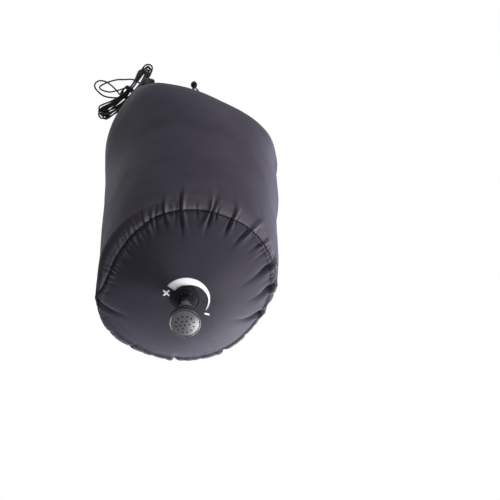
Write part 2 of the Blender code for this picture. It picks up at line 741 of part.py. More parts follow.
# Shower head: neck, bell, face, plug and its carrier
def shower_head(mat):
    neck_top = NUT_BOTTOM - HEAD_CLEARANCE
    neck_low = FABRIC_LEVEL - NECK_END
    groove_middle = FABRIC_LEVEL - RING_DROP
    groove = NECK_BORE + RING_GROOVE_DEPTH
    half = RING_GROOVE_HEIGHT / 2
    outer = [(NECK_RADIUS - NECK_WALL / 3, neck_top), (NECK_RADIUS, neck_top - NECK_WALL / 3)]
    outer.append((NECK_RADIUS, neck_low))
    bell = []
    for i in range(1, 7):
        share = i / 6
        swell = 1 - math.cos(share * math.pi / 2)
        radius = NECK_RADIUS + (BELL_RADIUS - NECK_RADIUS) * (share * 0.55 + swell * 0.45)
        bell.append((radius, neck_low + (RIM_TOP - neck_low) * share))
    rim_edge = BELL_WALL / 3
    outer += bell + [(BELL_RADIUS, RIM_BOTTOM + rim_edge), (BELL_RADIUS - rim_edge, RIM_BOTTOM)]
    mouth = BELL_RADIUS - BELL_WALL
    ledge_level = RIM_BOTTOM + FACE_THICKNESS + GAP
    inner = [(mouth, RIM_BOTTOM), (mouth, ledge_level), (mouth - FACE_LEDGE, ledge_level)]
    inner += [(mouth - FACE_LEDGE, RIM_TOP)]
    carrier_bottom = CARRIER_TOP - CARRIER_THICKNESS
    for radius, z in bell[-2:0:-1]:
        if z < carrier_bottom - GAP * 3:
            inner.append((radius - BELL_WALL - FACE_LEDGE / 2, z))
    seat = NECK_BORE - CARRIER_RIM / 2
    inner += [(seat, carrier_bottom - GAP), (NECK_BORE, carrier_bottom - GAP)]
    inner += [(NECK_BORE, groove_middle - half), (groove, groove_middle - half)]
    inner += [(groove, groove_middle + half), (NECK_BORE, groove_middle + half), (NECK_BORE, neck_top)]
    return turned("shower_head", outer + inner, mat)


def face_holes(mat):
    bm = bmesh.new()
    for ring_radius, count in HOLE_RINGS:
        for i in range(count):
            angle = math.tau * (i + 0.25) / count
            hole = bmesh.ops.create_cone(bm, cap_ends=True, segments=HOLE_SIDES, radius1=HOLE_RADIUS,
                                         radius2=HOLE_RADIUS, depth=FACE_THICKNESS + FACE_DOME + 2 * OVERRUN)
            spot = (ring_radius * math.cos(angle), ring_radius * math.sin(angle), RIM_BOTTOM)
            bmesh.ops.translate(bm, verts=hole["verts"], vec=spot)
    cutter = finish("face_hole_cut", bm, mat, smooth=0)
    cutter.hide_render = True
    cutter.display_type = "WIRE"
    return cutter


def spray_face(mat):
    """Domed plate with its pattern of holes, held in the bell's mouth."""
    outer = []
    inner = []
    for i in range(5):
        share = 1 - i / 4
        radius = FACE_RADIUS * share
        bulge = FACE_DOME * (1 - share * share)
        outer.append((radius, RIM_BOTTOM - bulge))
        inner.append((radius, RIM_BOTTOM + FACE_THICKNESS - bulge))
    face = turned("spray_face", outer + inner[::-1], mat)
    boolean = face.modifiers.new("holes", "BOOLEAN")
    boolean.operation = "DIFFERENCE"
    boolean.solver = "EXACT"
    boolean.object = face_holes(mat)
    return face


def head_seal(mat):
    """O-ring in the neck's groove."""
    middle = FABRIC_LEVEL - RING_DROP
    centre = NECK_BORE + GAP / 2 + RING_SECTION
    profile = [(centre + RING_SECTION * math.cos(a), middle + RING_SECTION * math.sin(a))
               for a in (math.tau * i / 6 for i in range(6))]
    return turned("head_seal", profile, mat, smooth=60)


def valve_plug(mat):
    return washer("valve_plug", PLUG_TOP, PLUG_HOLE, PLUG_RADIUS, PLUG_THICKNESS, mat)


def plug_carrier(mat):
    """Ring with three arms and a pin that holds the plug under the spout."""
    bm = bmesh.new()
    low = CARRIER_TOP - CARRIER_THICKNESS
    outer = NECK_BORE - GAP
    inner = outer - CARRIER_RIM
    arms = 3
    steps = 6
    rings = {}
    arm_turn = CARRIER_ARM / inner / 2
    hub_turn = math.asin(CARRIER_ARM / 2 / CARRIER_HUB)
    for z in (low, CARRIER_TOP):
        outer_ring, inner_ring, hub_ring = [], [], []
        for arm in range(arms):
            middle = math.tau * arm / arms
            span = math.tau / arms
            angles = [middle - arm_turn, middle + arm_turn]
            angles += [middle + arm_turn + (span - 2 * arm_turn) * k / steps for k in range(1, steps)]
            hubs = [middle - hub_turn, middle + hub_turn]
            hubs += [middle + hub_turn + (span - 2 * hub_turn) * k / steps for k in range(1, steps)]
            for a, h in zip(angles, hubs):
                outer_ring.append(bm.verts.new((outer * math.cos(a), outer * math.sin(a), z)))
                inner_ring.append(bm.verts.new((inner * math.cos(a), inner * math.sin(a), z)))
                hub_ring.append(bm.verts.new((CARRIER_HUB * math.cos(h), CARRIER_HUB * math.sin(h), z)))
        rings[z] = (outer_ring, inner_ring, hub_ring)
    count = len(rings[low][0])
    per_arm = count // arms
    for z in (low, CARRIER_TOP):
        outer_ring, inner_ring, hub_ring = rings[z]
        rim(bm, outer_ring, inner_ring)
        for arm in range(arms):
            i = arm * per_arm
            bm.faces.new((inner_ring[i], inner_ring[i + 1], hub_ring[i + 1], hub_ring[i]))
    rim(bm, rings[low][0], rings[CARRIER_TOP][0])
    for i in range(count):
        k = (i + 1) % count
        low_in, low_hub = rings[low][1], rings[low][2]
        top_in, top_hub = rings[CARRIER_TOP][1], rings[CARRIER_TOP][2]
        if i % per_arm == 0:
            bm.faces.new((low_in[i], low_hub[i], top_hub[i], top_in[i]))
            bm.faces.new((low_in[k], low_hub[k], top_hub[k], top_in[k]))
        else:
            bm.faces.new((low_in[i], low_in[k], top_in[k], top_in[i]))
            bm.faces.new((low_hub[i], low_hub[k], top_hub[k], top_hub[i]))
    bm.faces.new(rings[low][2])
    top_hub = rings[CARRIER_TOP][2]
    pin_base, pin_top = [], []
    for vert in top_hub:
        flat = Vector((vert.co.x, vert.co.y)).normalized() * PIN_RADIUS
        pin_base.append(bm.verts.new((flat.x, flat.y, CARRIER_TOP)))
        pin_top.append(bm.verts.new((flat.x, flat.y, PLUG_TOP - PLUG_THICKNESS / 2)))
    rim(bm, top_hub, pin_base)
    rim(bm, pin_base, pin_top)
    bm.faces.new(pin_top)
    return finish("plug_carrier", bm, mat, (0.0, 0.0, low))


# Cord: free stretches are curves, hank and wrap are long tubes
def smooth_points(route, spacing):
    """Evenly spaced points on a smooth curve through the route's points."""
    dense = []
    ends = [route[0] * 2 - route[1]] + route + [route[-1] * 2 - route[-2]]
    for a, b, c, d in zip(ends, ends[1:], ends[2:], ends[3:]):
        for i in range(20):
            t = i / 20
            point = b * 2 + (c - a) * t + (a * 2 - b * 5 + c * 4 - d) * t * t
            point += (b * 3 - a - c * 3 + d) * t * t * t
            dense.append(point / 2)
    dense.append(route[-1])
    lengths = [0.0]
    for first, second in zip(dense, dense[1:]):
        lengths.append(lengths[-1] + (second - first).length)
    count = max(2, round(lengths[-1] / spacing))
    result = []
    j = 0
    for i in range(count + 1):
        want = lengths[-1] * i / count
        while j < len(lengths) - 2 and lengths[j + 1] < want:
            j += 1
        step = lengths[j + 1] - lengths[j]
        share = (want - lengths[j]) / step if step else 0.0
        result.append(dense[j].lerp(dense[j + 1], min(1.0, share)))
    return result, lengths[-1]


def tube(name, points, mat, resolution=2, radius=CORD / 2):
    """Round tube through points given from the hang point."""
    curve = bpy.data.curves.new(name, "CURVE")
    curve.dimensions = "3D"
    curve.bevel_depth = radius
    curve.bevel_resolution = resolution
    curve.render_resolution_u = 0
    curve.use_fill_caps = True
    curve.materials.append(mat)
    spline = curve.splines.new("POLY")
    spline.points.add(len(points) - 1)
    for spot, point in zip(spline.points, points):
        spot.co = (*point, 1.0)
    thing = bpy.data.objects.new(name, curve)
    bpy.context.scene.collection.objects.link(thing)
    return thing


KNOT = Vector(KNOT_PLACE)
KNOT_LOW = KNOT.z - KNOT_LENGTH / 2
KNOT_HIGH = KNOT.z + KNOT_LENGTH / 2
UNDER = -GAP - CORD / 2


def cord_knot(mat):
    """Stopper knot as a turned barrel with two waists."""
    base = KNOT + HANG_POINT
    low = base.z - KNOT_LENGTH / 2
    profile = [(0.0, low)]
    for i in range(9):
        share = i / 8
        ripple = abs(math.sin(math.pi * share * 2))
        profile.append((KNOT_RADIUS + (KNOT_BULGE - KNOT_RADIUS) * ripple, low + KNOT_LENGTH * share))
    profile.append((0.0, low + KNOT_LENGTH))
    return turned("cord_knot", profile, mat, (base.x, base.y), steps=16, smooth=60)


def bight_route():
    """Under the socket and up both sides to the knot."""
    half = []
    half.append(Vector((BIGHT_X, 0.0, UNDER)))
    half.append(Vector((BIGHT_X, BUCKLE_HALF_WIDTH * 0.45, UNDER)))
    half.append(Vector((BIGHT_X, BUCKLE_HALF_WIDTH * 0.8, UNDER - GAP)))
    for degrees in (-75, -45, -15):
        turn = math.radians(degrees)
        side = BUCKLE_HALF_WIDTH + BIGHT_BEND * math.cos(turn)
        half.append(Vector((BIGHT_X, side, BIGHT_BEND * math.sin(turn))))
    half.append(Vector((BIGHT_X, BUCKLE_HALF_WIDTH + BIGHT_BEND, BUCKLE_HALF_THICKNESS)))
    half.append(Vector((BIGHT_X, BUCKLE_HALF_WIDTH + BIGHT_BEND, 2.2 * BUCKLE_HALF_THICKNESS)))
    top = Vector((KNOT.x + CORD_SPREAD, CORD_SPREAD, KNOT_LOW - GAP))
    shoulder = half[-1]
    for share in (0.35, 0.65):
        half.append(shoulder.lerp(top, share))
    half.append(top - Vector((0.0, 0.0, 2 * CORD)))
    half.append(top - Vector((0.0, 0.0, CORD)))
    half.append(top)
    other = [Vector((p.x, -p.y, p.z)) for p in half[:0:-1]]
    return other + half


# From the knot down to the strap, once round it, and up towards the hank
LEAD_ROUTE = [
    (-0.0216, 0.0000, 0.0703), (-0.0222, 0.0004, 0.0660), (-0.0260, 0.0015, 0.0560),
    (-0.0390, 0.0045, 0.0310), (-0.0580, 0.0080, 0.0075), (-0.0740, 0.0100, -0.0095),
    (-0.0802, 0.0112, -0.0180), (-0.0826, 0.0122, -0.0236), (-0.0822, 0.0122, -0.0264),
    (-0.0812, 0.0080, -0.0284), (-0.0812, 0.0000, -0.0286), (-0.0814, -0.0080, -0.0284),
    (-0.0826, -0.0123, -0.0260), (-0.0846, -0.0102, -0.0238), (-0.0864, -0.0015, -0.0236),
    (-0.0886, 0.0070, -0.0238), (-0.0904, 0.0105, -0.0175), (-0.0928, 0.0095, -0.0080),
]
# From the hank into one narrow loop and one wide loop
LOOSE_ROUTE = [
    (-0.0935, 0.0190, 0.0220), (-0.0975, 0.0205, 0.0262), (-0.1045, 0.0225, 0.0240),
    (-0.1117, 0.0260, 0.0191), (-0.1189, 0.0313, 0.0181), (-0.1253, 0.0389, 0.0171),
    (-0.1296, 0.0462, 0.0161), (-0.1319, 0.0528, 0.0151), (-0.1271, 0.0539, 0.0141),
    (-0.1184, 0.0501, 0.0131), (-0.1132, 0.0440, 0.0121), (-0.1087, 0.0369, 0.0111),
    (-0.1040, 0.0300, 0.0101), (-0.0994, 0.0307, 0.0081), (-0.0995, 0.0355, 0.0021),
    (-0.1064, 0.0387, -0.0019), (-0.1153, 0.0363, -0.0027), (-0.1238, 0.0345, -0.0035),
    (-0.1306, 0.0339, -0.0043), (-0.1369, 0.0350, -0.0051), (-0.1421, 0.0386, -0.0059),
    (-0.1434, 0.0445, -0.0067), (-0.1400, 0.0485, -0.0075), (-0.1326, 0.0503, -0.0083),
    (-0.1248, 0.0500, -0.0091), (-0.1177, 0.0466, -0.0099), (-0.1114, 0.0420, -0.0107),
]


def hank_frame():
    """Point, across and up vectors on the hank's slightly bent spine."""
    upper = Vector(HANK_UPPER)
    waist = Vector(HANK_WAIST)
    lower = Vector(HANK_LOWER)
    towards = Vector(HANK_FLAT_TOWARDS).normalized()

    def frame(share):
        bend = (upper + lower) / 2 - waist
        half = (upper - lower) / 2
        point = waist + half * share + bend * share * share
        along = (half + bend * 2 * share).normalized()
        across = along.cross(towards).normalized()
        return point, across, across.cross(along).normalized()
    return frame


def end_lift(points_left):
    """How far the line's last points stand clear of the loops, in layers."""
    return {0: 1.3, 1: 0.55}.get(points_left, 0.0)


def between_layers(shares, height):
    """Share for a height in layers, which climbs evenly from layer to layer."""
    low = min(HANK_LAYERS - 2, int(height))
    return shares[low] + (shares[low + 1] - shares[low]) * (height - low)


def hank_points():
    """Loops that spiral out and in again, a layer at a time, as one line.

    The layers' lobes fan out and differ in length, so that they don't hide each other.
    """
    frame = hank_frame()
    per_layer = HANK_LOOPS / HANK_LAYERS
    total = HANK_LOOPS * LOOP_POINTS
    past_waist = HANK_START / 360 - 0.75
    points = []
    for i in range(total + 1):
        turn = i / LOOP_POINTS + past_waist
        layer = min(HANK_LAYERS - 1, int(turn / per_layer))
        inside = turn - layer * per_layer
        step = inside if layer % 2 == 0 else per_layer - inside
        height = 0.0
        for k in range(1, HANK_LAYERS):
            climb = min(1.0, max(0.0, (turn - k * per_layer) / CLIMB_TURNS + 0.5))
            height += climb * climb * (3 - 2 * climb)
        angle = math.tau * (turn + 0.75)
        tip = math.cos(angle)
        fans, spreads = UPPER_FAN_SHARES, UPPER_SPREAD_SHARES
        if tip < 0:
            fans, spreads = LOWER_FAN_SHARES, LOWER_SPREAD_SHARES
        length = HANK_HALF_LENGTH + TIP_STEP * HANK_PITCH * step
        length += HANK_SPREAD * between_layers(spreads, height) * tip ** 2
        share = length * (LOBE_ROUND * tip - (LOBE_ROUND - 1) * tip ** 3) / HANK_HALF_LENGTH
        width = (HANK_INNER + HANK_PITCH * step) * math.sin(angle) * (1 + LOBE_SWELL * tip ** 2)
        width += HANK_FAN * between_layers(fans, height) * share ** 2
        point, across, up = frame(share)
        lift = (height - (HANK_LAYERS - 1) / 2) * HANK_PITCH
        lift += HANK_PITCH * (end_lift(total - i) - end_lift(i))
        points.append(point + across * width + up * lift)
    return points


def least_gap(points, skip):
    """Least distance between the surfaces of one tube's own turns."""
    least = 1.0
    for i, first in enumerate(points):
        for second in points[i + skip:]:
            least = min(least, (first - second).length)
    return least - CORD


def wrap_points():
    frame = hank_frame()
    per_layer = HANK_LOOPS / HANK_LAYERS
    wide = HANK_INNER + HANK_PITCH * per_layer + CORD + WRAP_GAP
    high = HANK_PITCH * (HANK_LAYERS - 1) / 2 + CORD + WRAP_GAP
    points = []
    total = WRAP_TURNS * LOOP_POINTS
    for i in range(total + 1):
        turn = i / LOOP_POINTS
        angle = math.tau * turn
        share = (turn - WRAP_TURNS / 2) * WRAP_PITCH / HANK_HALF_LENGTH
        point, across, up = frame(share)
        sides = []
        for part in (math.cos(angle), math.sin(angle)):
            sides.append(math.copysign(math.sqrt(abs(part)), part))
        points.append(point + across * wide * sides[0] + up * high * sides[1])
    return points


def build():
    cloth = material("coated_cloth", (0.045, 0.044, 0.052), 0.55)
    panel = material("base_cloth", (0.050, 0.049, 0.058), 0.50)
    tape = material("seam_tape", (0.030, 0.030, 0.034), 0.45)
    binding = material("binding", (0.020, 0.020, 0.022), 0.75)
    strip = material("stiffener", (0.060, 0.060, 0.064), 0.50)
    webbing = material("webbing", (0.014, 0.014, 0.015), 0.85)
    acetal = material("buckle_plastic", (0.012, 0.012, 0.013), 0.35)
    spout_mat = material("spout_plastic", (0.018, 0.018, 0.020), 0.40)
    nut_mat = material("nut_plastic", (0.015, 0.015, 0.017), 0.45)
    head_mat = material("head_plastic", (0.016, 0.016, 0.018), 0.28)
    face_mat = material("face_plastic", (0.022, 0.022, 0.024), 0.30)
    rubber = material("rubber_seal", (0.020, 0.020, 0.020), 0.70)
    cord_mat = material("cord", (0.008, 0.008, 0.009), 0.80)

    bag_wall(cloth)
    base_panel(panel)
    seam_binding(binding)
    side_seam_tape(tape)
    rolled_top(cloth)
    stiffener_strip(strip)
    strap("strap_socket_side", -1, webbing)
    strap("strap_plug_side", 1, webbing)
    buckle_socket(acetal)
    buckle_plug(acetal)
    buckle_prong("buckle_prong_front", -1, acetal)
    buckle_prong("buckle_prong_back", 1, acetal)
    spout(spout_mat)
    inner_top = FABRIC_LEVEL + FABRIC + GAP + WASHER_THICKNESS
    bore = SPOUT_RADIUS + GAP
    washer("spout_inner_washer", inner_top, bore, INNER_WASHER_RADIUS, WASHER_THICKNESS, rubber)
    washer("spout_outer_washer", FABRIC_LEVEL - GAP, bore, OUTER_WASHER_RADIUS, WASHER_THICKNESS, rubber)
    lock_nut(nut_mat)
    shower_head(head_mat)
    spray_face(face_mat)
    head_seal(rubber)
    valve_plug(rubber)
    plug_carrier(head_mat)

    cord_knot(cord_mat)
    bight, bight_length = smooth_points(bight_route(), 1.9 * CORD)
    tube("cord_bight", bight, cord_mat)
    tail = [Vector((KNOT.x, KNOT.y, KNOT_HIGH + GAP + TAIL_LENGTH * k / 3)) for k in range(4)]
    tube("cord_tail", tail, cord_mat)
    hank = hank_points()
    start = (hank[0] - hank[1]).normalized()
    end = (hank[-1] - hank[-2]).normalized()
    lead_route = [Vector(p) for p in LEAD_ROUTE] + [hank[0] + start * (GAP + CORD * k) for k in (2, 1, 0)]
    lead, lead_length = smooth_points(lead_route, 2.0 * CORD)
    tube("cord_lead", lead, cord_mat)
    hank_length = sum((b - a).length for a, b in zip(hank, hank[1:]))
    tube("cord_hank", hank, cord_mat, 1)
    wrap = wrap_points()
    tube("cord_wrap", wrap, cord_mat, 1)
    loose_route = [hank[-1] + end * (GAP + CORD * k) for k in (0, 1, 2)] + [Vector(p) for p in LOOSE_ROUTE]
    loose, loose_length = smooth_points(loose_route, 2.1 * CORD)
    tube("cord_loose_loops", loose, cord_mat)
    last = (loose[-1] - loose[-2]).normalized()
    tip = [loose[-1] + last * (GAP + TIP_LENGTH * k / 2) for k in range(3)]
    tube("cord_end", tip, cord_mat, radius=TIP_RADIUS)
    print("hang point above the seam", round(HANG_HEIGHT, 5), "strap run", round(STRAP_RUN, 4))
    print("least gap in the hank", round(least_gap(hank, 8) * 1000, 3), "mm")
    print("least gap in the wrap", round(least_gap(wrap, 8) * 1000, 3), "mm")
    between = min((a - b).length for a in wrap for b in hank) - CORD
    print("least gap from wrap to hank", round(between * 1000, 3), "mm")
    wrap_length = sum((b - a).length for a, b in zip(wrap, wrap[1:]))
    lengths = (bight_length, lead_length, hank_length, wrap_length, loose_length)
    print("bight, lead, hank, wrap, loose loops", [round(length, 4) for length in lengths])
    print("cord points", len(bight), len(lead), len(loose))
    print("roll end", END_X, END_Z + ROLL_MIDDLE - HANG_HEIGHT)


build()
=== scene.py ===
# %% [markdown]
# A camp shower bag hangs full from a cord and is seen from below.
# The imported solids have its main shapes, and most sizes below repeat theirs. This lesson
# dresses them: cloth that puckers at its seam, a rolled collar, webbing, a braided cord
# and moulded plastic.

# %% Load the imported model
import math

import bpy
import numpy as np
from mathutils import Matrix, Vector


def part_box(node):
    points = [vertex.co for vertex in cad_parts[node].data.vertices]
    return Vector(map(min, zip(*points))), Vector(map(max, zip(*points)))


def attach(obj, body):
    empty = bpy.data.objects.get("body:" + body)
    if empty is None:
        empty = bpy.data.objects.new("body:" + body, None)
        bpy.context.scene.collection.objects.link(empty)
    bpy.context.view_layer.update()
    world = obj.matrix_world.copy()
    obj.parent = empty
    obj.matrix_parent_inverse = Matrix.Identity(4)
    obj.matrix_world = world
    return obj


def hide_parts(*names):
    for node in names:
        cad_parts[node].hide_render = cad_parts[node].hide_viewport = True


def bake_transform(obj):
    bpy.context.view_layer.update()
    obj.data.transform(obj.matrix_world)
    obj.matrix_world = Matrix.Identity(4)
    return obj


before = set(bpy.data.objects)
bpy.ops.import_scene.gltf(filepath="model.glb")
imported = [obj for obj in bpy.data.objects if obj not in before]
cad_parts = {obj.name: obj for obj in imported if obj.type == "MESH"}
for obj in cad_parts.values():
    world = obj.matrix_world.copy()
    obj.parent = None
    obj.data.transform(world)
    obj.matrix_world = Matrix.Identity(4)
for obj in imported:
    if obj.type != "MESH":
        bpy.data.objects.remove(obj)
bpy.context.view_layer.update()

# %% [markdown]
# The bag is easiest to describe from the middle of its base seam, so all its shapes use
# that frame and are moved at the end. The hang point, where the model has its origin,
# follows from the lowest point of the base panel, which the solids give.

# %% Sizes of the cloth body, in metres
SEAM_RADIUS = 0.0918
WALL_RADIUS = 0.1012
EDGE_RISE = 0.0168
BASE_SAG = 0.0280
CLAMP_RADIUS = 0.0170
SPOUT_HOLE = 0.0063
ROLL_HEIGHT = 0.3655
TOP_SHIFT = 0.0130
base_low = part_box("base_panel")[0].z
HANG = np.array([TOP_SHIFT, 0.0, -base_low - BASE_SAG])
print("hang point above the seam", round(float(HANG[2]), 4))

# %% [markdown]
# The camera comes first, because everything is judged through it. It looks up at the
# base from 62 degrees below the horizon, turned 38 degrees to one side, from 2.24 m.
# A long lens keeps the far end of the bag from shrinking.

# %% Camera
AZIMUTH = math.radians(-38.0)
ELEVATION = math.radians(-62.0)
DISTANCE = 2.24
METRES_PER_PIXEL = 1.10e-3
PICTURE = 500
SEAM_PIXEL = (187.0, 286.0)

backward = Vector((math.sin(AZIMUTH) * math.cos(ELEVATION),
                   -math.cos(AZIMUTH) * math.cos(ELEVATION), math.sin(ELEVATION)))
forward = -backward
rightward = forward.cross(Vector((0.0, 0.0, 1.0))).normalized()
upward = rightward.cross(forward)


def from_camera(right, up, near):
    """Offset in the camera's own directions."""
    return rightward * right + upward * up + backward * near


seam_middle = Vector(-HANG)
lens = bpy.data.cameras.new("camera")
lens.sensor_width = 36.0
lens.lens = DISTANCE / METRES_PER_PIXEL * lens.sensor_width / PICTURE
lens.clip_end = 200.0
camera = bpy.data.objects.new("camera", lens)
bpy.context.scene.collection.objects.link(camera)
off_right = (PICTURE / 2 - SEAM_PIXEL[0]) * METRES_PER_PIXEL
off_up = (SEAM_PIXEL[1] - PICTURE / 2) * METRES_PER_PIXEL
place = seam_middle + from_camera(off_right, off_up, DISTANCE)
turn = Matrix((rightward, upward, backward)).transposed().to_4x4()
camera.matrix_world = Matrix.Translation(place) @ turn
bpy.context.scene.camera = camera
print("camera at", [round(c, 3) for c in place], "lens", round(lens.lens, 1), "mm")

# %% [markdown]
# Each material is a Principled shader with a few texture nodes in front of it. A small
# helper adds a node and sets its inputs, which keeps every recipe short enough to read.

# %% Node helpers
def new_material(name, colour, roughness, metallic=0.0, specular=0.5):
    """Material with one Principled shader; returns it with its node tree and shader."""
    mat = bpy.data.materials.new(name)
    mat.use_nodes = True
    tree = mat.node_tree
    shader = tree.nodes["Principled BSDF"]
    shader.inputs["Base Color"].default_value = (*colour, 1.0)
    shader.inputs["Roughness"].default_value = roughness
    shader.inputs["Metallic"].default_value = metallic
    shader.inputs["Specular IOR Level"].default_value = specular
    mat.diffuse_color = (*colour, 1.0)
    return mat, tree, shader


def add_node(tree, kind, **inputs):
    """Adds a node; inputs may be values or the sockets that feed them."""
    node = tree.nodes.new(kind)
    for key, value in inputs.items():
        numbered = key[0] == "i" and key[1:].isdigit()
        socket = node.inputs[int(key[1:])] if numbered else node.inputs[key]
        if isinstance(value, bpy.types.NodeSocket):
            tree.links.new(value, socket)
        else:
            socket.default_value = value
    return node


def maths(tree, operation, first, second=0.0, third=0.0):
    node = add_node(tree, "ShaderNodeMath", i0=first, i1=second, i2=third)
    node.operation = operation
    return node.outputs[0]


def phase(tree, coordinate, pitch):
    """Angle that turns once for each pitch along the coordinate."""
    return maths(tree, "MULTIPLY", coordinate, math.tau / pitch)


def noise(tree, coordinates, scale, detail=3.0, roughness=0.5):
    node = add_node(tree, "ShaderNodeTexNoise", Vector=coordinates, Scale=scale, Detail=detail)
    node.inputs["Roughness"].default_value = roughness
    return node.outputs["Fac"]


def tone(tree, shader, factor, low, high, colour):
    """Base colour that goes from low to high times the colour with the factor."""
    ramp = tree.nodes.new("ShaderNodeValToRGB")
    ramp.color_ramp.elements[0].position = 0.3
    ramp.color_ramp.elements[1].position = 0.7
    ramp.color_ramp.elements[0].color = (*[c * low for c in colour], 1.0)
    ramp.color_ramp.elements[1].color = (*[c * high for c in colour], 1.0)
    tree.links.new(factor, ramp.inputs["Fac"])
    tree.links.new(ramp.outputs["Color"], shader.inputs["Base Color"])


def rough_range(tree, shader, factor, low, high):
    node = add_node(tree, "ShaderNodeMapRange", Value=factor)
    node.inputs["To Min"].default_value = low
    node.inputs["To Max"].default_value = high
    tree.links.new(node.outputs["Result"], shader.inputs["Roughness"])


def bump(tree, shader, height, depth, strength=1.0):
    """Adds one layer of relief, on top of any that the shader already has."""
    node = add_node(tree, "ShaderNodeBump", Height=height, Strength=strength, Distance=depth)
    previous = shader.inputs["Normal"]
    if previous.is_linked:
        tree.links.new(previous.links[0].from_socket, node.inputs["Normal"])
    tree.links.new(node.outputs["Normal"], shader.inputs["Normal"])


def object_coordinates(tree):
    return tree.nodes.new("ShaderNodeTexCoord").outputs["Object"]


def uv_parts(tree):
    """The two parts of the piece's own map, in metres or turns."""
    uv = tree.nodes.new("ShaderNodeUVMap")
    parts = add_node(tree, "ShaderNodeSeparateXYZ", Vector=uv.outputs["UV"])
    return uv.outputs["UV"], parts.outputs["X"], parts.outputs["Y"]


# %% [markdown]
# The hanging cord is a braid: two sets of strands wind round it in opposite directions.
# Its map holds the turn round the cord and the length along it, so two sine waves that
# lean either way give the braid at its real pitch, however the cord bends.

# %% Braided cord
CORD = 0.0020
BRAID_PITCH = 0.0050
BRAID_STRANDS = 4.0


def braided_cord():
    mat, tree, shader = new_material("braided_cord", (0.006, 0.006, 0.006), 0.70, specular=0.15)
    shader.inputs["Sheen Weight"].default_value = 0.05
    uv, around, along = uv_parts(tree)
    strands = []
    for lean in (1.0, -1.0):
        wound = phase(tree, around, 1 / BRAID_STRANDS)
        climb = phase(tree, along, lean * BRAID_PITCH)
        strands.append(maths(tree, "SINE", maths(tree, "ADD", wound, climb)))
    braid = maths(tree, "MAXIMUM", strands[0], strands[1])
    bump(tree, shader, braid, 0.00016)
    # Painted shade and light: the braid's grooves are darker and its crowns lighter, following the
    # braid's height.
    height = maths(tree, "MULTIPLY_ADD", braid, 0.5, 0.5)
    tone(tree, shader, height, 0.5, 1.5, (0.006, 0.006, 0.0065))
    return mat


cord_finish = braided_cord()

# %% [markdown]
# A cord is a tube swept along a line. The frame is carried along the line with the
# least twist, so that the braid doesn't spin at the bends, and the mesh is made here
# instead of with a bevelled curve because the braid needs its own map.

# %% Piece and tube helpers
def collection_link(thing):
    bpy.context.scene.collection.objects.link(thing)
    return thing


def shade(mesh, angle=180.0):
    mesh.shade_smooth()
    if angle < 180.0:
        mesh.set_sharp_from_angle(angle=math.radians(angle))


def smooth_line(route, spacing):
    """Evenly spaced points on a smooth curve through the route's points."""
    route = [Vector(p) for p in route]
    ends = [route[0] * 2 - route[1]] + route + [route[-1] * 2 - route[-2]]
    dense = []
    for a, b, c, d in zip(ends, ends[1:], ends[2:], ends[3:]):
        for i in range(20):
            t = i / 20
            point = b * 2 + (c - a) * t + (a * 2 - b * 5 + c * 4 - d) * t * t
            point += (b * 3 - a - c * 3 + d) * t * t * t
            dense.append(point / 2)
    dense.append(route[-1])
    dense = np.array(dense)
    steps = np.linalg.norm(np.diff(dense, axis=0), axis=1)
    run = np.concatenate([[0.0], np.cumsum(steps)])
    count = max(2, round(run[-1] / spacing))
    wanted = np.linspace(0.0, run[-1], count + 1)
    return [Vector([np.interp(w, run, dense[:, k]) for k in range(3)]) for w in wanted]


def new_mesh(name, verts, faces, corners=None):
    """Mesh of verts and faces; corners holds the map's point for each face corner."""
    mesh = bpy.data.meshes.new(name)
    mesh.from_pydata(verts, [], faces)
    if corners is not None:
        layer = mesh.uv_layers.new(name="map")
        layer.data.foreach_set("uv", np.array(corners, np.float32).ravel())
    mesh.update()
    return mesh


def add_piece(name, mesh, material, body_name=None, angle=180.0):
    """Makes a mesh a visible piece with a material and a body to ride on."""
    shade(mesh, angle)
    mesh.materials.append(material)
    piece = collection_link(bpy.data.objects.new(name, mesh))
    if body_name:
        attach(piece, body_name)
    return piece


def thicken(piece, thickness):
    """Gives an open skin its thickness, towards the inside."""
    solid = piece.modifiers.new("thickness", "SOLIDIFY")
    solid.thickness = thickness
    solid.offset = -1.0


def circle(sides):
    """Cosine and sine of so many evenly spaced directions."""
    return [(math.cos(math.tau * j / sides), math.sin(math.tau * j / sides)) for j in range(sides)]


def ring_faces(rings, sides):
    """Faces of a closed tube made of rings, with a flat cap at each end."""
    faces = []
    for i in range(rings - 1):
        for j in range(sides):
            k = (j + 1) % sides
            faces.append((i * sides + j, i * sides + k, (i + 1) * sides + k, (i + 1) * sides + j))
    last = (rings - 1) * sides
    return [*faces, tuple(range(sides))[::-1], tuple(range(last, last + sides))]


def ways_along(line):
    """Direction of a line at each of its points."""
    befores, afters = [line[0], *line], [*line[1:], line[-1]]
    return [(after - before).normalized() for before, after in zip(befores, afters)]


def lengths_along(line):
    """Length of a line up to each of its points."""
    lengths = [0.0]
    for first, second in zip(line, line[1:]):
        lengths.append(lengths[-1] + (second - first).length)
    return lengths


def line_length(line):
    return lengths_along(line)[-1]


def tube(name, line, radius, material, sides=12):
    """Closed round tube of cord along a line, with a map of turns and metres."""
    line = [Vector(p) for p in line]
    ways = ways_along(line)
    spokes = circle(sides)
    side = ways[0].orthogonal().normalized()
    verts = []
    for point, way in zip(line, ways):
        side = (side - way * side.dot(way)).normalized()
        other = way.cross(side)
        verts += [point + (side * cosine + other * sine) * radius for cosine, sine in spokes]
    runs = lengths_along(line)
    corners = []
    for low, top in zip(runs, runs[1:]):
        for j in range(sides):
            left, right = j / sides, (j + 1) / sides
            corners += [(left, low), (right, low), (right, top), (left, top)]
    corners += [(0.0, 0.0)] * sides + [(0.0, runs[-1])] * sides
    mesh = new_mesh(name, verts, ring_faces(len(line), sides), corners)
    return add_piece(name, mesh, material, "bag", 60.0)


# %% [markdown]
# The bight runs from the knot down one side of the buckle, under it and up again.
# The cord's route points are written from the hang point, in metres.

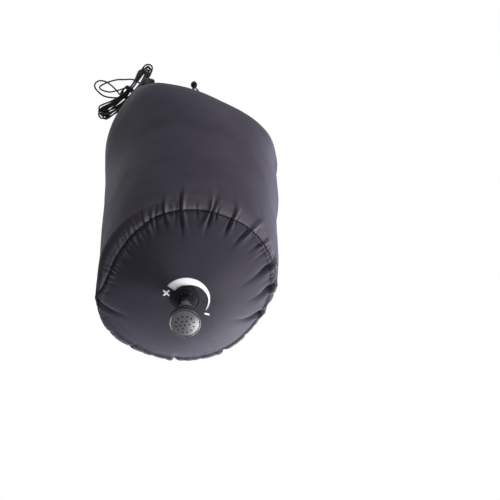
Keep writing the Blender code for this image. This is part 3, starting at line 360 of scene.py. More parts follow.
# %% Route of the bight
GAP = 0.0003
BUCKLE_HALF_WIDTH = 0.0140
BUCKLE_HALF_THICKNESS = 0.0042
BIGHT_X = -0.0100
BIGHT_BEND = 0.0026
CORD_SPREAD = 0.0013
KNOT = Vector((-0.0200, 0.0, 0.0850))
KNOT_LENGTH = 0.0085
KNOT_LOW = KNOT.z - KNOT_LENGTH / 2
KNOT_HIGH = KNOT.z + KNOT_LENGTH / 2
UNDER = -GAP - CORD / 2


def bight_route():
    half = [Vector((BIGHT_X, 0.0, UNDER)), Vector((BIGHT_X, BUCKLE_HALF_WIDTH * 0.45, UNDER)),
            Vector((BIGHT_X, BUCKLE_HALF_WIDTH * 0.8, UNDER - GAP))]
    for degrees in (-75, -45, -15):
        angle = math.radians(degrees)
        half.append(Vector((BIGHT_X, BUCKLE_HALF_WIDTH + BIGHT_BEND * math.cos(angle),
                            BIGHT_BEND * math.sin(angle))))
    beside = BUCKLE_HALF_WIDTH + BIGHT_BEND
    half.append(Vector((BIGHT_X, beside, BUCKLE_HALF_THICKNESS)))
    half.append(Vector((BIGHT_X, beside, 2.2 * BUCKLE_HALF_THICKNESS)))
    top = Vector((KNOT.x + CORD_SPREAD, CORD_SPREAD, KNOT_LOW - GAP))
    shoulder = half[-1]
    half += [shoulder.lerp(top, 0.35), shoulder.lerp(top, 0.65)]
    half += [top - Vector((0.0, 0.0, 2 * CORD)), top - Vector((0.0, 0.0, CORD)), top]
    other = [Vector((p.x, -p.y, p.z)) for p in half[:0:-1]]
    return other + half


bight_line = smooth_line(bight_route(), 0.0012)
bight = tube("hanging_bight", bight_line, CORD / 2, cord_finish)
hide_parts("cord_bight")
print("bight", round(line_length(bight_line), 4), "m")

# %% [markdown]
# From the knot the cord drops to the strap, goes once round it and rises into a hank of
# eight loops. The loops lie in four layers that spiral out and in again. Its lobes fan
# out and differ in length, as they do when a hank is wound by hand. The photograph
# doesn't let the loops be counted, so eight is the best reading.

# %% Route of the lead, hank and loose loops
LEAD_ROUTE = [
    (-0.0216, 0.0000, 0.0703), (-0.0222, 0.0004, 0.0660), (-0.0260, 0.0015, 0.0560),
    (-0.0390, 0.0045, 0.0310), (-0.0580, 0.0080, 0.0075), (-0.0740, 0.0100, -0.0095),
    (-0.0802, 0.0112, -0.0180), (-0.0826, 0.0122, -0.0236), (-0.0822, 0.0122, -0.0264),
    (-0.0812, 0.0080, -0.0284), (-0.0812, 0.0000, -0.0286), (-0.0814, -0.0080, -0.0284),
    (-0.0826, -0.0123, -0.0260), (-0.0846, -0.0102, -0.0238), (-0.0864, -0.0015, -0.0236),
    (-0.0886, 0.0070, -0.0238), (-0.0904, 0.0105, -0.0175), (-0.0928, 0.0095, -0.0080),
]
LOOSE_ROUTE = [
    (-0.0935, 0.0190, 0.0220), (-0.0975, 0.0205, 0.0262), (-0.1045, 0.0225, 0.0240),
    (-0.1117, 0.0260, 0.0191), (-0.1189, 0.0313, 0.0181), (-0.1253, 0.0389, 0.0171),
    (-0.1296, 0.0462, 0.0161), (-0.1319, 0.0528, 0.0151), (-0.1271, 0.0539, 0.0141),
    (-0.1184, 0.0501, 0.0131), (-0.1132, 0.0440, 0.0121), (-0.1087, 0.0369, 0.0111),
    (-0.1040, 0.0300, 0.0101), (-0.0994, 0.0307, 0.0081), (-0.0995, 0.0355, 0.0021),
    (-0.1064, 0.0387, -0.0019), (-0.1153, 0.0363, -0.0027), (-0.1238, 0.0345, -0.0035),
    (-0.1306, 0.0339, -0.0043), (-0.1369, 0.0350, -0.0051), (-0.1421, 0.0386, -0.0059),
    (-0.1434, 0.0445, -0.0067), (-0.1400, 0.0485, -0.0075), (-0.1326, 0.0503, -0.0083),
    (-0.1248, 0.0500, -0.0091), (-0.1177, 0.0466, -0.0099), (-0.1114, 0.0420, -0.0107),
]
HANK_LOOPS = 8
HANK_LAYERS = 4
HANK_PITCH = 0.0027
HANK_INNER = 0.0014
HANK_HALF_LENGTH = 0.0532
HANK_START = 300.0
LOBE_SWELL = 0.9
LOBE_ROUND = 1.3
TIP_STEP = 1.3
CLIMB_TURNS = 0.26
HANK_FAN = 0.0050
UPPER_FAN_SHARES = (-0.8, -0.3, 0.1, 0.6)
LOWER_FAN_SHARES = (0.8, 0.3, -0.2, -1.0)
HANK_SPREAD = 0.0070
UPPER_SPREAD_SHARES = (-0.9, 0.0, -0.6, -1.0)
LOWER_SPREAD_SHARES = (0.0, 0.3, 0.1, -0.6)
HANK_UPPER = Vector((-0.0948, 0.0021, 0.0360))
HANK_WAIST = Vector((-0.1022, 0.0245, -0.0185))
HANK_LOWER = Vector((-0.1230, 0.0485, -0.0621))
HANK_FLAT_TOWARDS = Vector((0.29, 0.37, 0.88)).normalized()
LOOP_POINTS = 72


def hank_frame(share):
    """Point, across and up directions on the hank's bent spine."""
    bend = (HANK_UPPER + HANK_LOWER) / 2 - HANK_WAIST
    half = (HANK_UPPER - HANK_LOWER) / 2
    point = HANK_WAIST + half * share + bend * share * share
    along = (half + bend * 2 * share).normalized()
    across = along.cross(HANK_FLAT_TOWARDS).normalized()
    return point, across, across.cross(along).normalized()


def between_layers(shares, height):
    """Share for a height in layers, which climbs evenly from layer to layer."""
    low = min(HANK_LAYERS - 2, int(height))
    return shares[low] + (shares[low + 1] - shares[low]) * (height - low)


def end_lift(turns_left):
    """How far the line's ends stand clear of the loops, in layers."""
    return max(0.0, float(np.interp(turns_left * 24, [0.0, 1.0, 2.0], [1.3, 0.55, 0.0])))


def hank_line():
    """One line of loops that spiral out and in again, a layer at a time."""
    per_layer = HANK_LOOPS / HANK_LAYERS
    past_waist = HANK_START / 360 - 0.75
    points = []
    for i in range(HANK_LOOPS * LOOP_POINTS + 1):
        gone = i / LOOP_POINTS
        turn = gone + past_waist
        layer = min(HANK_LAYERS - 1, int(turn / per_layer))
        inside = turn - layer * per_layer
        step = inside if layer % 2 == 0 else per_layer - inside
        height = 0.0
        for k in range(1, HANK_LAYERS):
            climb = min(1.0, max(0.0, (turn - k * per_layer) / CLIMB_TURNS + 0.5))
            height += climb * climb * (3 - 2 * climb)
        angle = math.tau * (turn + 0.75)
        reach = math.cos(angle)
        upper_half = reach > 0
        fan = between_layers(UPPER_FAN_SHARES if upper_half else LOWER_FAN_SHARES, height)
        spreads = UPPER_SPREAD_SHARES if upper_half else LOWER_SPREAD_SHARES
        spread = between_layers(spreads, height)
        length = HANK_HALF_LENGTH + TIP_STEP * HANK_PITCH * step + HANK_SPREAD * spread * reach ** 2
        share = length * (LOBE_ROUND * reach - (LOBE_ROUND - 1) * reach ** 3) / HANK_HALF_LENGTH
        width = (HANK_INNER + HANK_PITCH * step) * math.sin(angle) * (1 + LOBE_SWELL * reach ** 2)
        width += HANK_FAN * fan * share ** 2
        point, across, up = hank_frame(share)
        lift = height - (HANK_LAYERS - 1) / 2 + end_lift(HANK_LOOPS - gone) - end_lift(gone)
        points.append(point + across * width + up * lift * HANK_PITCH)
    return points


hank = hank_line()
into = (hank[0] - hank[1]).normalized()
out_of = (hank[-1] - hank[-2]).normalized()
lead_end = [hank[0] + into * (GAP + CORD * k) for k in (2, 1, 0)]
loose_start = [hank[-1] + out_of * (GAP + CORD * k) for k in (0, 1, 2)]
lead_line = smooth_line([*LEAD_ROUTE, *lead_end], 0.0016)
loose_line = smooth_line([*loose_start, *LOOSE_ROUTE], 0.0016)
cord_line = lead_line[:-1] + hank + loose_line[1:]
hanging_cord = tube("hanging_cord", cord_line, CORD / 2, cord_finish, sides=10)
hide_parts("cord_lead", "cord_hank", "cord_loose_loops")
print("cord from knot to tip", round(line_length(cord_line), 3), "m")

# %% [markdown]
# The end of a synthetic cord is melted so that it doesn't fray. It is a shade thicker
# than the cord and has a rounded tip, so it is a short tube whose radius changes.

# %% Sealed tip, wrap and knot
def turned_along(name, start, direction, profile, material, sides=24):
    """Round closed piece along a direction; the profile holds (distance, radius)."""
    direction = direction.normalized()
    side = direction.orthogonal().normalized()
    other = direction.cross(side)
    verts = [start + direction * distance + (side * cosine + other * sine) * radius
             for distance, radius in profile for cosine, sine in circle(sides)]
    mesh = new_mesh(name, verts, ring_faces(len(profile), sides))
    return add_piece(name, mesh, material, "bag", 50.0)


def melted_end():
    mat, tree, shader = new_material("melted_end", (0.012, 0.012, 0.012), 0.3)
    bump(tree, shader, noise(tree, object_coordinates(tree), 900.0), 0.0002)
    return mat


TIP_PROFILE = [(0.0, 0.00095), (0.0006, 0.00122), (0.0030, 0.00126), (0.0042, 0.00112),
               (0.0048, 0.0007), (0.0050, 0.0002)]
tip_way = cord_line[-1] - cord_line[-2]
tip = turned_along("cord_tip", cord_line[-1], tip_way, TIP_PROFILE, melted_end())
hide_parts("cord_end")

WRAP_TURNS = 3
WRAP_GAP = 0.0012
WRAP_PITCH = 0.0026
WRAP_STEPS = 60
wide = HANK_INNER + HANK_PITCH * HANK_LOOPS / HANK_LAYERS + CORD + WRAP_GAP
high = HANK_PITCH * (HANK_LAYERS - 1) / 2 + CORD + WRAP_GAP
wrap_line = []
for i in range(WRAP_TURNS * WRAP_STEPS + 1):
    turns = i / WRAP_STEPS
    point, across, up = hank_frame((turns - WRAP_TURNS / 2) * WRAP_PITCH / HANK_HALF_LENGTH)
    round_parts = (math.cos(math.tau * turns), math.sin(math.tau * turns))
    parts = [math.copysign(math.sqrt(abs(part)), part) for part in round_parts]
    wrap_line.append(point + across * wide * parts[0] + up * high * parts[1])
wrap = tube("hank_wrap", wrap_line, CORD / 2, cord_finish)
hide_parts("cord_wrap")

KNOT_TURNS = 4
KNOT_STEPS = 32
KNOT_RADIUS = 0.0033
KNOT_CORE = 0.0021
TAIL_LENGTH = 0.0070
knot_line = []
for i in range(KNOT_TURNS * KNOT_STEPS + 1):
    turns = i / KNOT_STEPS
    share = turns / KNOT_TURNS
    reach = KNOT_RADIUS - 0.0009 * abs(2 * share - 1) ** 6
    level = KNOT_LOW + CORD / 2 + (KNOT_LENGTH - CORD) * share
    knot_line.append(Vector((KNOT.x + reach * math.cos(math.tau * turns),
                             KNOT.y + reach * math.sin(math.tau * turns), level)))
knot = tube("cord_knot_turns", knot_line, CORD / 2, cord_finish)


def upright_line(low, length):
    """Short straight line through the knot's middle, upwards from a level."""
    return [Vector((KNOT.x, KNOT.y, low + length * k / 6)) for k in range(7)]


core_line = upright_line(KNOT_LOW - GAP, KNOT_LENGTH + 2 * GAP)
core = tube("cord_knot_core", core_line, KNOT_CORE, cord_finish, sides=16)
tail_line = upright_line(KNOT_HIGH + GAP, TAIL_LENGTH)
tail = tube("cord_tail_end", tail_line, CORD / 2, cord_finish)
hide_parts("cord_knot")
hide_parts("cord_tail")

print("wrap", round(line_length(wrap_line), 3), "m, knot turns", KNOT_TURNS)

# %% [markdown]
# The closed roll is bent up and inwards at both ends, towards the buckle. Its path is a
# curve whose heading grows with the distance from the middle, slowly at first. Tables of
# the places along it serve the top of the wall, the collar and the straps alike.

# %% The roll's path
ROLL_HALF = 0.1440
ROLL_END_HEADING = math.radians(150.0)
EAR_ARC = 0.1140
CORE_HALF = 0.00185
ROLL_SHEET = 0.0010
ROLL_PITCH = 0.00145
ROLL_OUTER = CORE_HALF + ROLL_SHEET + ROLL_PITCH * 1.5
ROLL_MIDDLE = ROLL_HEIGHT + ROLL_OUTER + GAP

arc_table = np.linspace(0.0, 0.16, 641)
heading_table = ROLL_END_HEADING * (arc_table / ROLL_HALF) ** 3
middle_heading = (heading_table[1:] + heading_table[:-1]) / 2
arc_step = arc_table[1]
x_table = np.concatenate([[0.0], np.cumsum(np.cos(middle_heading) * arc_step)])
z_table = np.concatenate([[0.0], np.cumsum(np.sin(middle_heading) * arc_step)])


def roll_point(arc, outward):
    """x and z on the roll's path in the bag's frame, moved away from the loop."""
    arc = np.asarray(arc, float)
    size = np.abs(arc)
    heading = np.interp(size, arc_table, heading_table)
    x = np.interp(size, arc_table, x_table) + outward * np.sin(heading)
    z = np.interp(size, arc_table, z_table) - outward * np.cos(heading)
    return np.sign(arc) * x + TOP_SHIFT, z + ROLL_MIDDLE


print("roll end", [round(float(v), 4) for v in roll_point(ROLL_HALF, 0.0)])

# %% [markdown]
# The wall is a cloth tube. It starts round at the base seam and ends flat, where it
# runs into the roll. A smooth curve for each angle carries one shape into the other.
# The grid goes from the spout outwards over the base and on up the wall, so that the
# puckers can cross the seam without a break.

# %% Smooth body of the bag
COLUMNS = 960
WALL_PULL = 0.3130
SHOULDER_REACH = 0.0120
SHOULDER_DROP = 0.0400
SHOULDER_WIDTH = 1.13
EAR_FOLLOW = 0.6
TOP_HALF = 0.0012
angles = np.linspace(0.0, math.tau, COLUMNS, endpoint=False)
cosines, sines = np.cos(angles), np.sin(angles)


def flat_ring(radius, level):
    return np.stack([radius * cosines, radius * sines, np.full(COLUMNS, level)], 1)


def wall_ring(v):
    """One ring of the wall, at the share v of its height."""
    wrapped = np.arctan2(sines, cosines)
    near_x = np.minimum(np.abs(wrapped), math.pi - np.abs(wrapped)) / (math.pi / 2)
    across = np.sign(math.pi / 2 - np.abs(wrapped)) * (1 - near_x)
    x_top, z_top = roll_point(EAR_ARC * np.sin(across * math.pi / 2), ROLL_OUTER)
    start = flat_ring(WALL_RADIUS, EDGE_RISE)
    pull = start.copy()
    pull[:, 2] += WALL_PULL + (z_top - ROLL_HEIGHT) * EAR_FOLLOW
    swell = SHOULDER_REACH * np.sign(cosines) * cosines ** 2
    drop = SHOULDER_DROP * (1 - np.abs(sines))
    shoulder = np.stack([x_top + swell, WALL_RADIUS * sines * SHOULDER_WIDTH, z_top - drop], 1)
    pinch = TOP_HALF * np.sign(sines) * np.minimum(1.0, np.abs(sines) * 8)
    end = np.stack([x_top, pinch, z_top], 1)
    u = 1 - v
    return u ** 3 * start + 3 * u * u * v * pull + 3 * u * v * v * shoulder + v ** 3 * end


def stretches(start, *parts):
    """Numbers in even steps through stretches, each given by its end and its count."""
    values = [start]
    for end, count in parts:
        values += list(np.linspace(values[-1], end, count)[1:])
    return np.array(values)


rings = []
NEAR_SEAM = 0.0070
FINER_BASE = 0.060
outward_steps = stretches(SPOUT_HOLE, (CLAMP_RADIUS, 4), (FINER_BASE, 16),
                          (SEAM_RADIUS - NEAR_SEAM, 28), (SEAM_RADIUS, 21))
for radius in outward_steps:
    share = max(0.0, (radius - CLAMP_RADIUS) / (SEAM_RADIUS - CLAMP_RADIUS))
    rings.append(flat_ring(radius, -BASE_SAG * (1 - share ** 2)))
SEAM_ROW = len(rings) - 1
EDGE_ROWS = 40
for i in range(1, EDGE_ROWS):
    edge_turn = math.pi / 2 * (i / EDGE_ROWS) ** 1.15
    rings.append(flat_ring(SEAM_RADIUS + (WALL_RADIUS - SEAM_RADIUS) * math.sin(edge_turn),
                           EDGE_RISE * (1 - math.cos(edge_turn))))
heights = stretches(0.0, (0.04, 28), (0.14, 24), (0.80, 54), (1.0, 34))
WALL_ROW = len(rings)
for v in heights:
    rings.append(wall_ring(v))
body = np.array(rings)
row_height = np.concatenate([np.zeros(WALL_ROW), heights])
steps = np.linalg.norm(np.diff(body, axis=0), axis=2).mean(1)
run = np.concatenate([[0.0], np.cumsum(steps)])
run -= run[SEAM_ROW]
print("grid of", body.shape[0], "rings and", COLUMNS, "columns")
print("wall runs", round(float(run[-1]), 3), "m")

# %% [markdown]
# A real full bag is never quite round. These pushes move the wall in or out by up to
# 10 mm, so that its outline comes near the photograph's. Each one has a direction, a
# height, two spreads and a size.

# %% Fuller and flatter places
HIGH_SIDE = math.radians(-38.0)
RIM_TILT = 0.0085
RIM_TILT_HEIGHT = 0.2400
PUSHES = [
    # degrees, height, degrees wide, metres tall, push
    (158.0, 0.320, 24.0, 0.060, 0.0085),
    (212.0, 0.355, 28.0, 0.050, 0.0040),
    (258.0, 0.325, 18.0, 0.050, -0.0030),
    (297.0, 0.318, 16.0, 0.045, 0.0040),
    (322.0, 0.295, 22.0, 0.045, -0.0100),
    (328.0, 0.180, 30.0, 0.070, -0.0030),
    (146.0, 0.230, 16.0, 0.060, 0.0020),
    (357.0, 0.000, 26.0, 0.045, -0.0060),
    (110.0, 0.000, 20.0, 0.045, 0.0060),
    (150.0, 0.030, 12.0, 0.045, -0.0020),
    (334.0, 0.347, 14.0, 0.032, -0.0060),
]


def degrees_apart(first, second):
    return (first - second + 180.0) % 360.0 - 180.0


def push_out(grid):
    """Moves the wall in or out, and lifts the seam's high side."""
    x, y, z = grid[..., 0].copy(), grid[..., 1].copy(), grid[..., 2].copy()
    radius = np.hypot(x, y)
    outward = np.clip((radius - CLAMP_RADIUS) / (SEAM_RADIUS - CLAMP_RADIUS), 0, 1)
    rise = np.clip(1 - z / RIM_TILT_HEIGHT, 0, 1)
    towards = (x * math.cos(HIGH_SIDE) + y * math.sin(HIGH_SIDE)) / np.maximum(radius, GAP)
    grid[..., 2] += RIM_TILT * towards * outward ** 2 * rise ** 2
    beyond = np.clip((run + 0.012) / 0.024, 0, 1)[:, None]
    near_top = np.clip((1 - row_height) / 0.12, 0, 1)[:, None]
    for direction, height, spread, tall, size in PUSHES:
        aside = degrees_apart(np.degrees(angles), direction)[None, :] / spread
        above = (z - height) / tall
        amount = size * np.exp(-aside ** 2 - above ** 2) * beyond * near_top
        grid[..., 0] += amount * cosines
        grid[..., 1] += amount * sines


push_out(body)
print("body from", body.min((0, 1)).round(3), "to", body.max((0, 1)).round(3))

# %% [markdown]
# The seam doesn't run in a perfect circle: on one side it sits well in under the base,
# on the other it climbs to the widest place of the edge. Its rows of the grid slide along
# the surface, which leaves the surface as it is.

# %% The seam's wandering
SEAM_WANDER = [
    # degrees, metres up the wall
    (5.0, 0.0068), (20.0, 0.0074), (32.0, 0.0060), (45.0, 0.0072), (60.0, 0.0064),
    (75.0, 0.0072), (90.0, 0.0062), (105.0, 0.0098), (118.0, 0.0118), (130.0, 0.0124),
    (136.0, 0.0090), (144.0, 0.0000), (157.0, -0.0062), (170.0, -0.0066), (180.0, -0.0064),
    (190.0, -0.0040), (201.0, -0.0026), (210.0, 0.0006), (224.0, 0.0016), (238.0, 0.0018),
    (252.0, 0.0022), (262.0, 0.0018), (273.0, 0.0042), (280.0, 0.0040), (286.0, 0.0056),
    (296.0, 0.0056), (306.0, 0.0066), (320.0, 0.0092), (335.0, 0.0098), (350.0, 0.0076),
]
WANDER_REACH = 0.040


def slide_seam(grid):
    """Slides the grid's rows along the surface, most at the seam."""
    turn = np.degrees(angles)
    wander = np.interp(turn, *zip(*SEAM_WANDER), period=360.0)
    spread = np.exp(-((np.arange(COLUMNS) - COLUMNS // 2) / (COLUMNS / 90)) ** 2)
    softener = np.fft.fft(np.fft.ifftshift(spread / spread.sum()))
    wander = np.real(np.fft.ifft(np.fft.fft(wander) * softener))
    fade = np.exp(-(run / WANDER_REACH) ** 2)
    for column in range(COLUMNS):
        wanted = run + wander[column] * fade
        for axis in range(3):
            grid[:, column, axis] = np.interp(wanted, run, grid[:, column, axis])


slide_seam(body)

# %% [markdown]
# The thread of the seam is a little shorter than the cloth, so the cloth gathers there.
# Each pucker is a sharp valley with one steep side and one that slopes gently. It fades
# up the wall and in over the base. On the side in view the large ones stand where the
# photograph shows them. On the far side it doesn't show the wall, so how far they climb
# there is a guess. Small ones fill the rest of the seam from a seeded random list. Where
# puckers would stand out in the bag's outline, the ridges beside them are lower.

# %% Puckers along the seam
BIG_PUCKERS = [
    # degrees, depth, half width, length up, length in, lean, steep side
    (202.5, 0.0036, 0.0011, 0.018, 0.012, 0.10, 1),
    (217.3, 0.0054, 0.0012, 0.024, 0.013, 0.02, 1),
    (228.9, 0.0062, 0.0012, 0.038, 0.020, 0.00, 1),
    (249.4, 0.0066, 0.0013, 0.038, 0.017, 0.10, -1),
    (263.8, 0.0058, 0.0012, 0.030, 0.015, 0.00, 1),
    (278.3, 0.0060, 0.0013, 0.038, 0.018, 0.25, 1),
    (291.5, 0.0036, 0.0012, 0.018, 0.014, 0.20, 1),
    (309.2, 0.0074, 0.0020, 0.016, 0.026, -0.15, 1),
    (324.7, 0.0080, 0.0022, 0.012, 0.022, -0.38, 1),
    (346.0, 0.0074, 0.0022, 0.012, 0.026, -0.40, 1),
    (9.0, 0.0016, 0.0018, 0.010, 0.010, 0.10, 1),
    (27.6, 0.0036, 0.0022, 0.012, 0.010, 0.00, 1),
    (44.0, 0.0012, 0.0020, 0.010, 0.008, 0.00, -1),
    (61.5, 0.0042, 0.0018, 0.014, 0.012, -0.05, 1),
    (76.0, 0.0012, 0.0020, 0.010, 0.008, 0.00, 1),
    (92.0, 0.0018, 0.0020, 0.010, 0.009, 0.05, -1),
    (108.0, 0.0014, 0.0020, 0.010, 0.009, 0.00, 1),
    (133.4, 0.0056, 0.0020, 0.018, 0.022, 0.75, -1),
]
RIDGE = 0.36
LOW_RIDGE = 0.12
LOW_RIDGE_MIDDLE = 50.0
LOW_RIDGE_REACH = 102.0
chance = np.random.default_rng(11)


def small_puckers():
    """Random gathers, closer together on the side where the photograph has many."""
    found = []
    at = 0.0
    while at < 359.0:
        crowded = abs(degrees_apart(at, 182.0)) < 36.0
        at += chance.uniform(3.4, 5.4) if crowded else chance.uniform(5.0, 9.0)
        if min(abs(degrees_apart(at, big[0])) for big in BIG_PUCKERS) < 3.2:
            continue
        lower = abs(degrees_apart(at, 65.0)) < 80.0
        deepest = 0.0032 if crowded else 0.0008 if lower else 0.0018
        depth = chance.uniform(deepest * 0.45, deepest)
        lean = chance.uniform(0.0, 0.35) if crowded else chance.uniform(-0.2, 0.2)
        found.append((at, depth, chance.uniform(0.0008, 0.0013), chance.uniform(0.008, 0.014),
                      chance.uniform(0.008, 0.016), lean, chance.choice((-1, 1))))
    return found


def crease(aside, width, steep=0, ridge=RIDGE):
    """Sharp valley at 0; its wall on the steep side is short, the other one long."""
    soft = width * 0.2
    lopsided = width * (1 + 0.45 * steep * np.tanh(-aside / (0.5 * width)))
    valley = np.exp(-(np.sqrt(aside ** 2 + soft ** 2) - soft) / lopsided)
    ridges = 0.0
    for side in (-1, 1):
        away = (aside - side * 2.2 * width) / (1.6 * width)
        ridges = ridges + (1 + 0.5 * side * steep) * np.exp(-away ** 2)
    return ridge * ridges - valley


def grid_normals(grid):
    """Outward normals of the grid, from its own neighbours."""
    around = np.roll(grid, -1, axis=1) - np.roll(grid, 1, axis=1)
    along = np.gradient(grid, axis=0)
    normal = np.cross(around, along)
    return normal / np.maximum(np.linalg.norm(normal, axis=2, keepdims=True), 1e-12)


def pucker_depth():
    depth = np.zeros((len(run), COLUMNS))
    puckers = BIG_PUCKERS + small_puckers()
    for degrees, size, width, up, inward, lean, steep in puckers:
        reach = np.where(run > 0, run / up, -run / inward)
        rows = np.where(reach < 1.6)[0]
        aside = degrees_apart(np.degrees(angles), degrees)[None, :]
        aside = np.radians(aside) * SEAM_RADIUS - lean * run[rows][:, None]
        fade = np.exp(-(reach[rows] * 1.25) ** 2)[:, None]
        widen = width * (0.7 + 1.1 * reach[rows])[:, None]
        in_outline = abs(degrees_apart(degrees, LOW_RIDGE_MIDDLE)) < LOW_RIDGE_REACH
        ridge = LOW_RIDGE if in_outline else RIDGE
        depth[rows] += size * fade * crease(aside, widen, steep, ridge)
    print("puckers", len(puckers))
    return depth


SEAM_GROOVE = 0.0022
GROOVE_WIDTH = 0.0009
SWELL = 0.0008
SWELL_AWAY = 0.0045
SWELL_WIDTH = 0.0030
groove = SEAM_GROOVE * np.exp(-np.abs(run) / GROOVE_WIDTH)[:, None]
swell_beside = SWELL * np.exp(-((np.abs(run) - SWELL_AWAY) / SWELL_WIDTH) ** 2)[:, None]
relief = pucker_depth() - groove + swell_beside

# %% [markdown]
# Between the seam and the roll the cloth carries broad, shallow waves and a fine
# crumple across the bag. Both come from random lattices that wrap round the bag.

# %% Waves and crumple of the wall
def lattice_noise(seed, around, tall):
    """Smooth noise on the grid: so many cells round the bag, each so many metres tall."""
    maker = np.random.default_rng(seed)
    levels = int((run[-1] - run[0]) / tall) + 3
    lattice = maker.uniform(-1, 1, (levels, around))
    column = angles / math.tau * around
    row = (run - run[0]) / tall
    c0, r0 = np.floor(column).astype(int), np.floor(row).astype(int)
    cf, rf = column - c0, row - r0
    cf, rf = cf * cf * (3 - 2 * cf), rf * rf * (3 - 2 * rf)
    low = lattice[r0][:, c0 % around] * (1 - cf) + lattice[r0][:, (c0 + 1) % around] * cf
    top = lattice[r0 + 1][:, c0 % around] * (1 - cf) + lattice[r0 + 1][:, (c0 + 1) % around] * cf
    return low * (1 - rf)[:, None] + top * rf[:, None]


on_wall = np.clip((run - 0.010) / 0.05, 0, 1)[:, None]
below_top = np.clip((1 - row_height) / 0.06, 0, 1)[:, None]
waves = lattice_noise(3, 13, 0.075) * 0.0011 + lattice_noise(5, 34, 0.030) * 0.00035
crumple = lattice_noise(7, 60, 0.0045) * 0.00005 + lattice_noise(9, 140, 0.010) * 0.00006
relief += waves * on_wall * below_top + crumple * (0.3 + 0.7 * on_wall)
print("relief from", round(float(relief.min()), 4), "to", round(float(relief.max()), 4))

# %% [markdown]
# Where the round tube is pressed flat into the roll, the spare cloth folds. The folds
# start at the two ears and fan out down the wall, deepest next to the roll. The
# photograph doesn't show this place, so where they lie is a guess.

# %% Folds that fan out from the roll
EAR_FOLDS = [
    # degrees at the top, degrees further down, depth, half width
    (14.0, 30.0, 0.0030, 0.0060), (-16.0, -34.0, 0.0030, 0.0060),
    (34.0, 58.0, 0.0018, 0.0060), (-36.0, -60.0, 0.0020, 0.0065),
    (166.0, 150.0, 0.0030, 0.0060), (194.0, 211.0, 0.0030, 0.0060),
    (146.0, 124.0, 0.0018, 0.0060), (215.0, 238.0, 0.0020, 0.0060),
    (78.0, 84.0, 0.0010, 0.0050), (265.0, 262.0, 0.0012, 0.0050),
    (250.0, 240.0, 0.0010, 0.0045), (100.0, 104.0, 0.0011, 0.0050),
    (284.0, 292.0, 0.0013, 0.0050), (60.0, 66.0, 0.0009, 0.0045),
    (118.0, 112.0, 0.0010, 0.0045),
]


def ear_folds():
    depth = np.zeros_like(relief)
    share = np.clip((1 - row_height) / 0.45, 0, 1)[:, None]
    for top, low, size, width in EAR_FOLDS:
        line = top + (low - top) * share ** 0.8
        aside = np.radians(degrees_apart(np.degrees(angles)[None, :], line)) * WALL_RADIUS
        fade = np.clip(1 - share, 0, 1) ** 1.4 * np.clip((1 - row_height) / 0.03, 0, 1)[:, None]
        depth += size * fade * crease(aside, width * (0.6 + share))
    return depth


relief += ear_folds()
body += grid_normals(body) * relief[..., None]
print("folds", len(EAR_FOLDS))

# %% [markdown]
# The cloth is nylon with a coating on the inside. Outside it is smooth and slightly
# shiny, with a fine plain weave. Its map is in metres, so the weave keeps its pitch of
# 0.6 mm, and the crumple runs across the bag. A black tint in the last millimetre by the
# seam stands for the shadow in the stitching. The wall also has a paler tint for some
# 30 mm above the seam, which is painted light: it lightens the band that the lamps leave
# dark, because the photograph's wall is light right down to the seam.
#
# The wall's index of refraction is 1.1, where a real coating has about 1.5. Cloth seen at
# a grazing angle reflects the white surroundings, and the lower index weakens that. It
# was chosen to bring the colour near the photograph's, and isn't a measured value.

# %% Coated nylon
WEAVE_PITCH = 0.0006


def tint_by_seam(tree, shader, along, start, end, least, tint):
    """Tints the cloth at the seam and lets the tint fade out between two distances."""
    far = add_node(tree, "ShaderNodeMapRange", Value=maths(tree, "ABSOLUTE", along))
    far.inputs["From Min"].default_value = start
    far.inputs["From Max"].default_value = end
    far.inputs["To Min"].default_value = least
    mix = tree.nodes.new("ShaderNodeMix")
    mix.data_type = "RGBA"
    mix.inputs[6].default_value = (*tint, 1.0)
    colour = shader.inputs["Base Color"]
    tree.links.new(far.outputs["Result"], mix.inputs[0])
    tree.links.new(colour.links[0].from_socket, mix.inputs[7])
    tree.links.new(mix.outputs[2], colour)


def coated_nylon(name, colour, roughness, sheen, painted_light_tint=None, index=1.5):
    mat, tree, shader = new_material(name, colour, roughness, specular=0.04)
    shader.inputs["IOR"].default_value = index
    shader.inputs["Sheen Weight"].default_value = sheen
    shader.inputs["Sheen Roughness"].default_value = 0.45
    shader.inputs["Sheen Tint"].default_value = (0.80, 0.78, 1.0, 1.0)
    uv, around, along = uv_parts(tree)
    warp = maths(tree, "SINE", phase(tree, around, WEAVE_PITCH))
    weft = maths(tree, "SINE", phase(tree, along, WEAVE_PITCH))
    weave = maths(tree, "MULTIPLY", warp, weft)
    stretched = add_node(tree, "ShaderNodeMapping", Vector=uv)
    stretched.inputs["Scale"].default_value = (1.0, 3.2, 1.0)
    crumple_fine = noise(tree, stretched.outputs["Vector"], 70.0, detail=4.0, roughness=0.6)
    cloudy = noise(tree, uv, 16.0, detail=2.0)
    tone(tree, shader, cloudy, 0.88, 1.12, colour)
    if painted_light_tint:
        # Painted light: a paler band on the wall for some 30 mm above the seam.
        tint_by_seam(tree, shader, along, start=0.006, end=0.030, least=0.05, tint=painted_light_tint)
    black = (0.0, 0.0, 0.0)
    tint_by_seam(tree, shader, along, start=0.0005, end=0.0014, least=0.15, tint=black)
    rough_range(tree, shader, crumple_fine, roughness - 0.06, roughness + 0.06)
    bump(tree, shader, crumple_fine, 0.0005, 0.45)
    bump(tree, shader, weave, 0.00004, 0.35)
    return mat


wall_nylon = coated_nylon("wall_nylon", (0.056, 0.050, 0.067), 0.46, 0.12,
                          painted_light_tint=(0.096, 0.087, 0.106), index=1.1)
base_nylon = coated_nylon("base_nylon", (0.034, 0.031, 0.042), 0.44, 0.34)
collar_nylon = coated_nylon("collar_nylon", (0.014, 0.014, 0.016), 0.60, 0.05)

# %% [markdown]
# Wall and base are two cloths sewn together. Both are cut from the one grid at the row of
# the seam, so their edges meet without a gap. The meshes are filled straight from
# arrays, which suits a grid of over 200,000 points.

# %% Wall and base pieces
CLOTH_THICKNESS = 0.0006


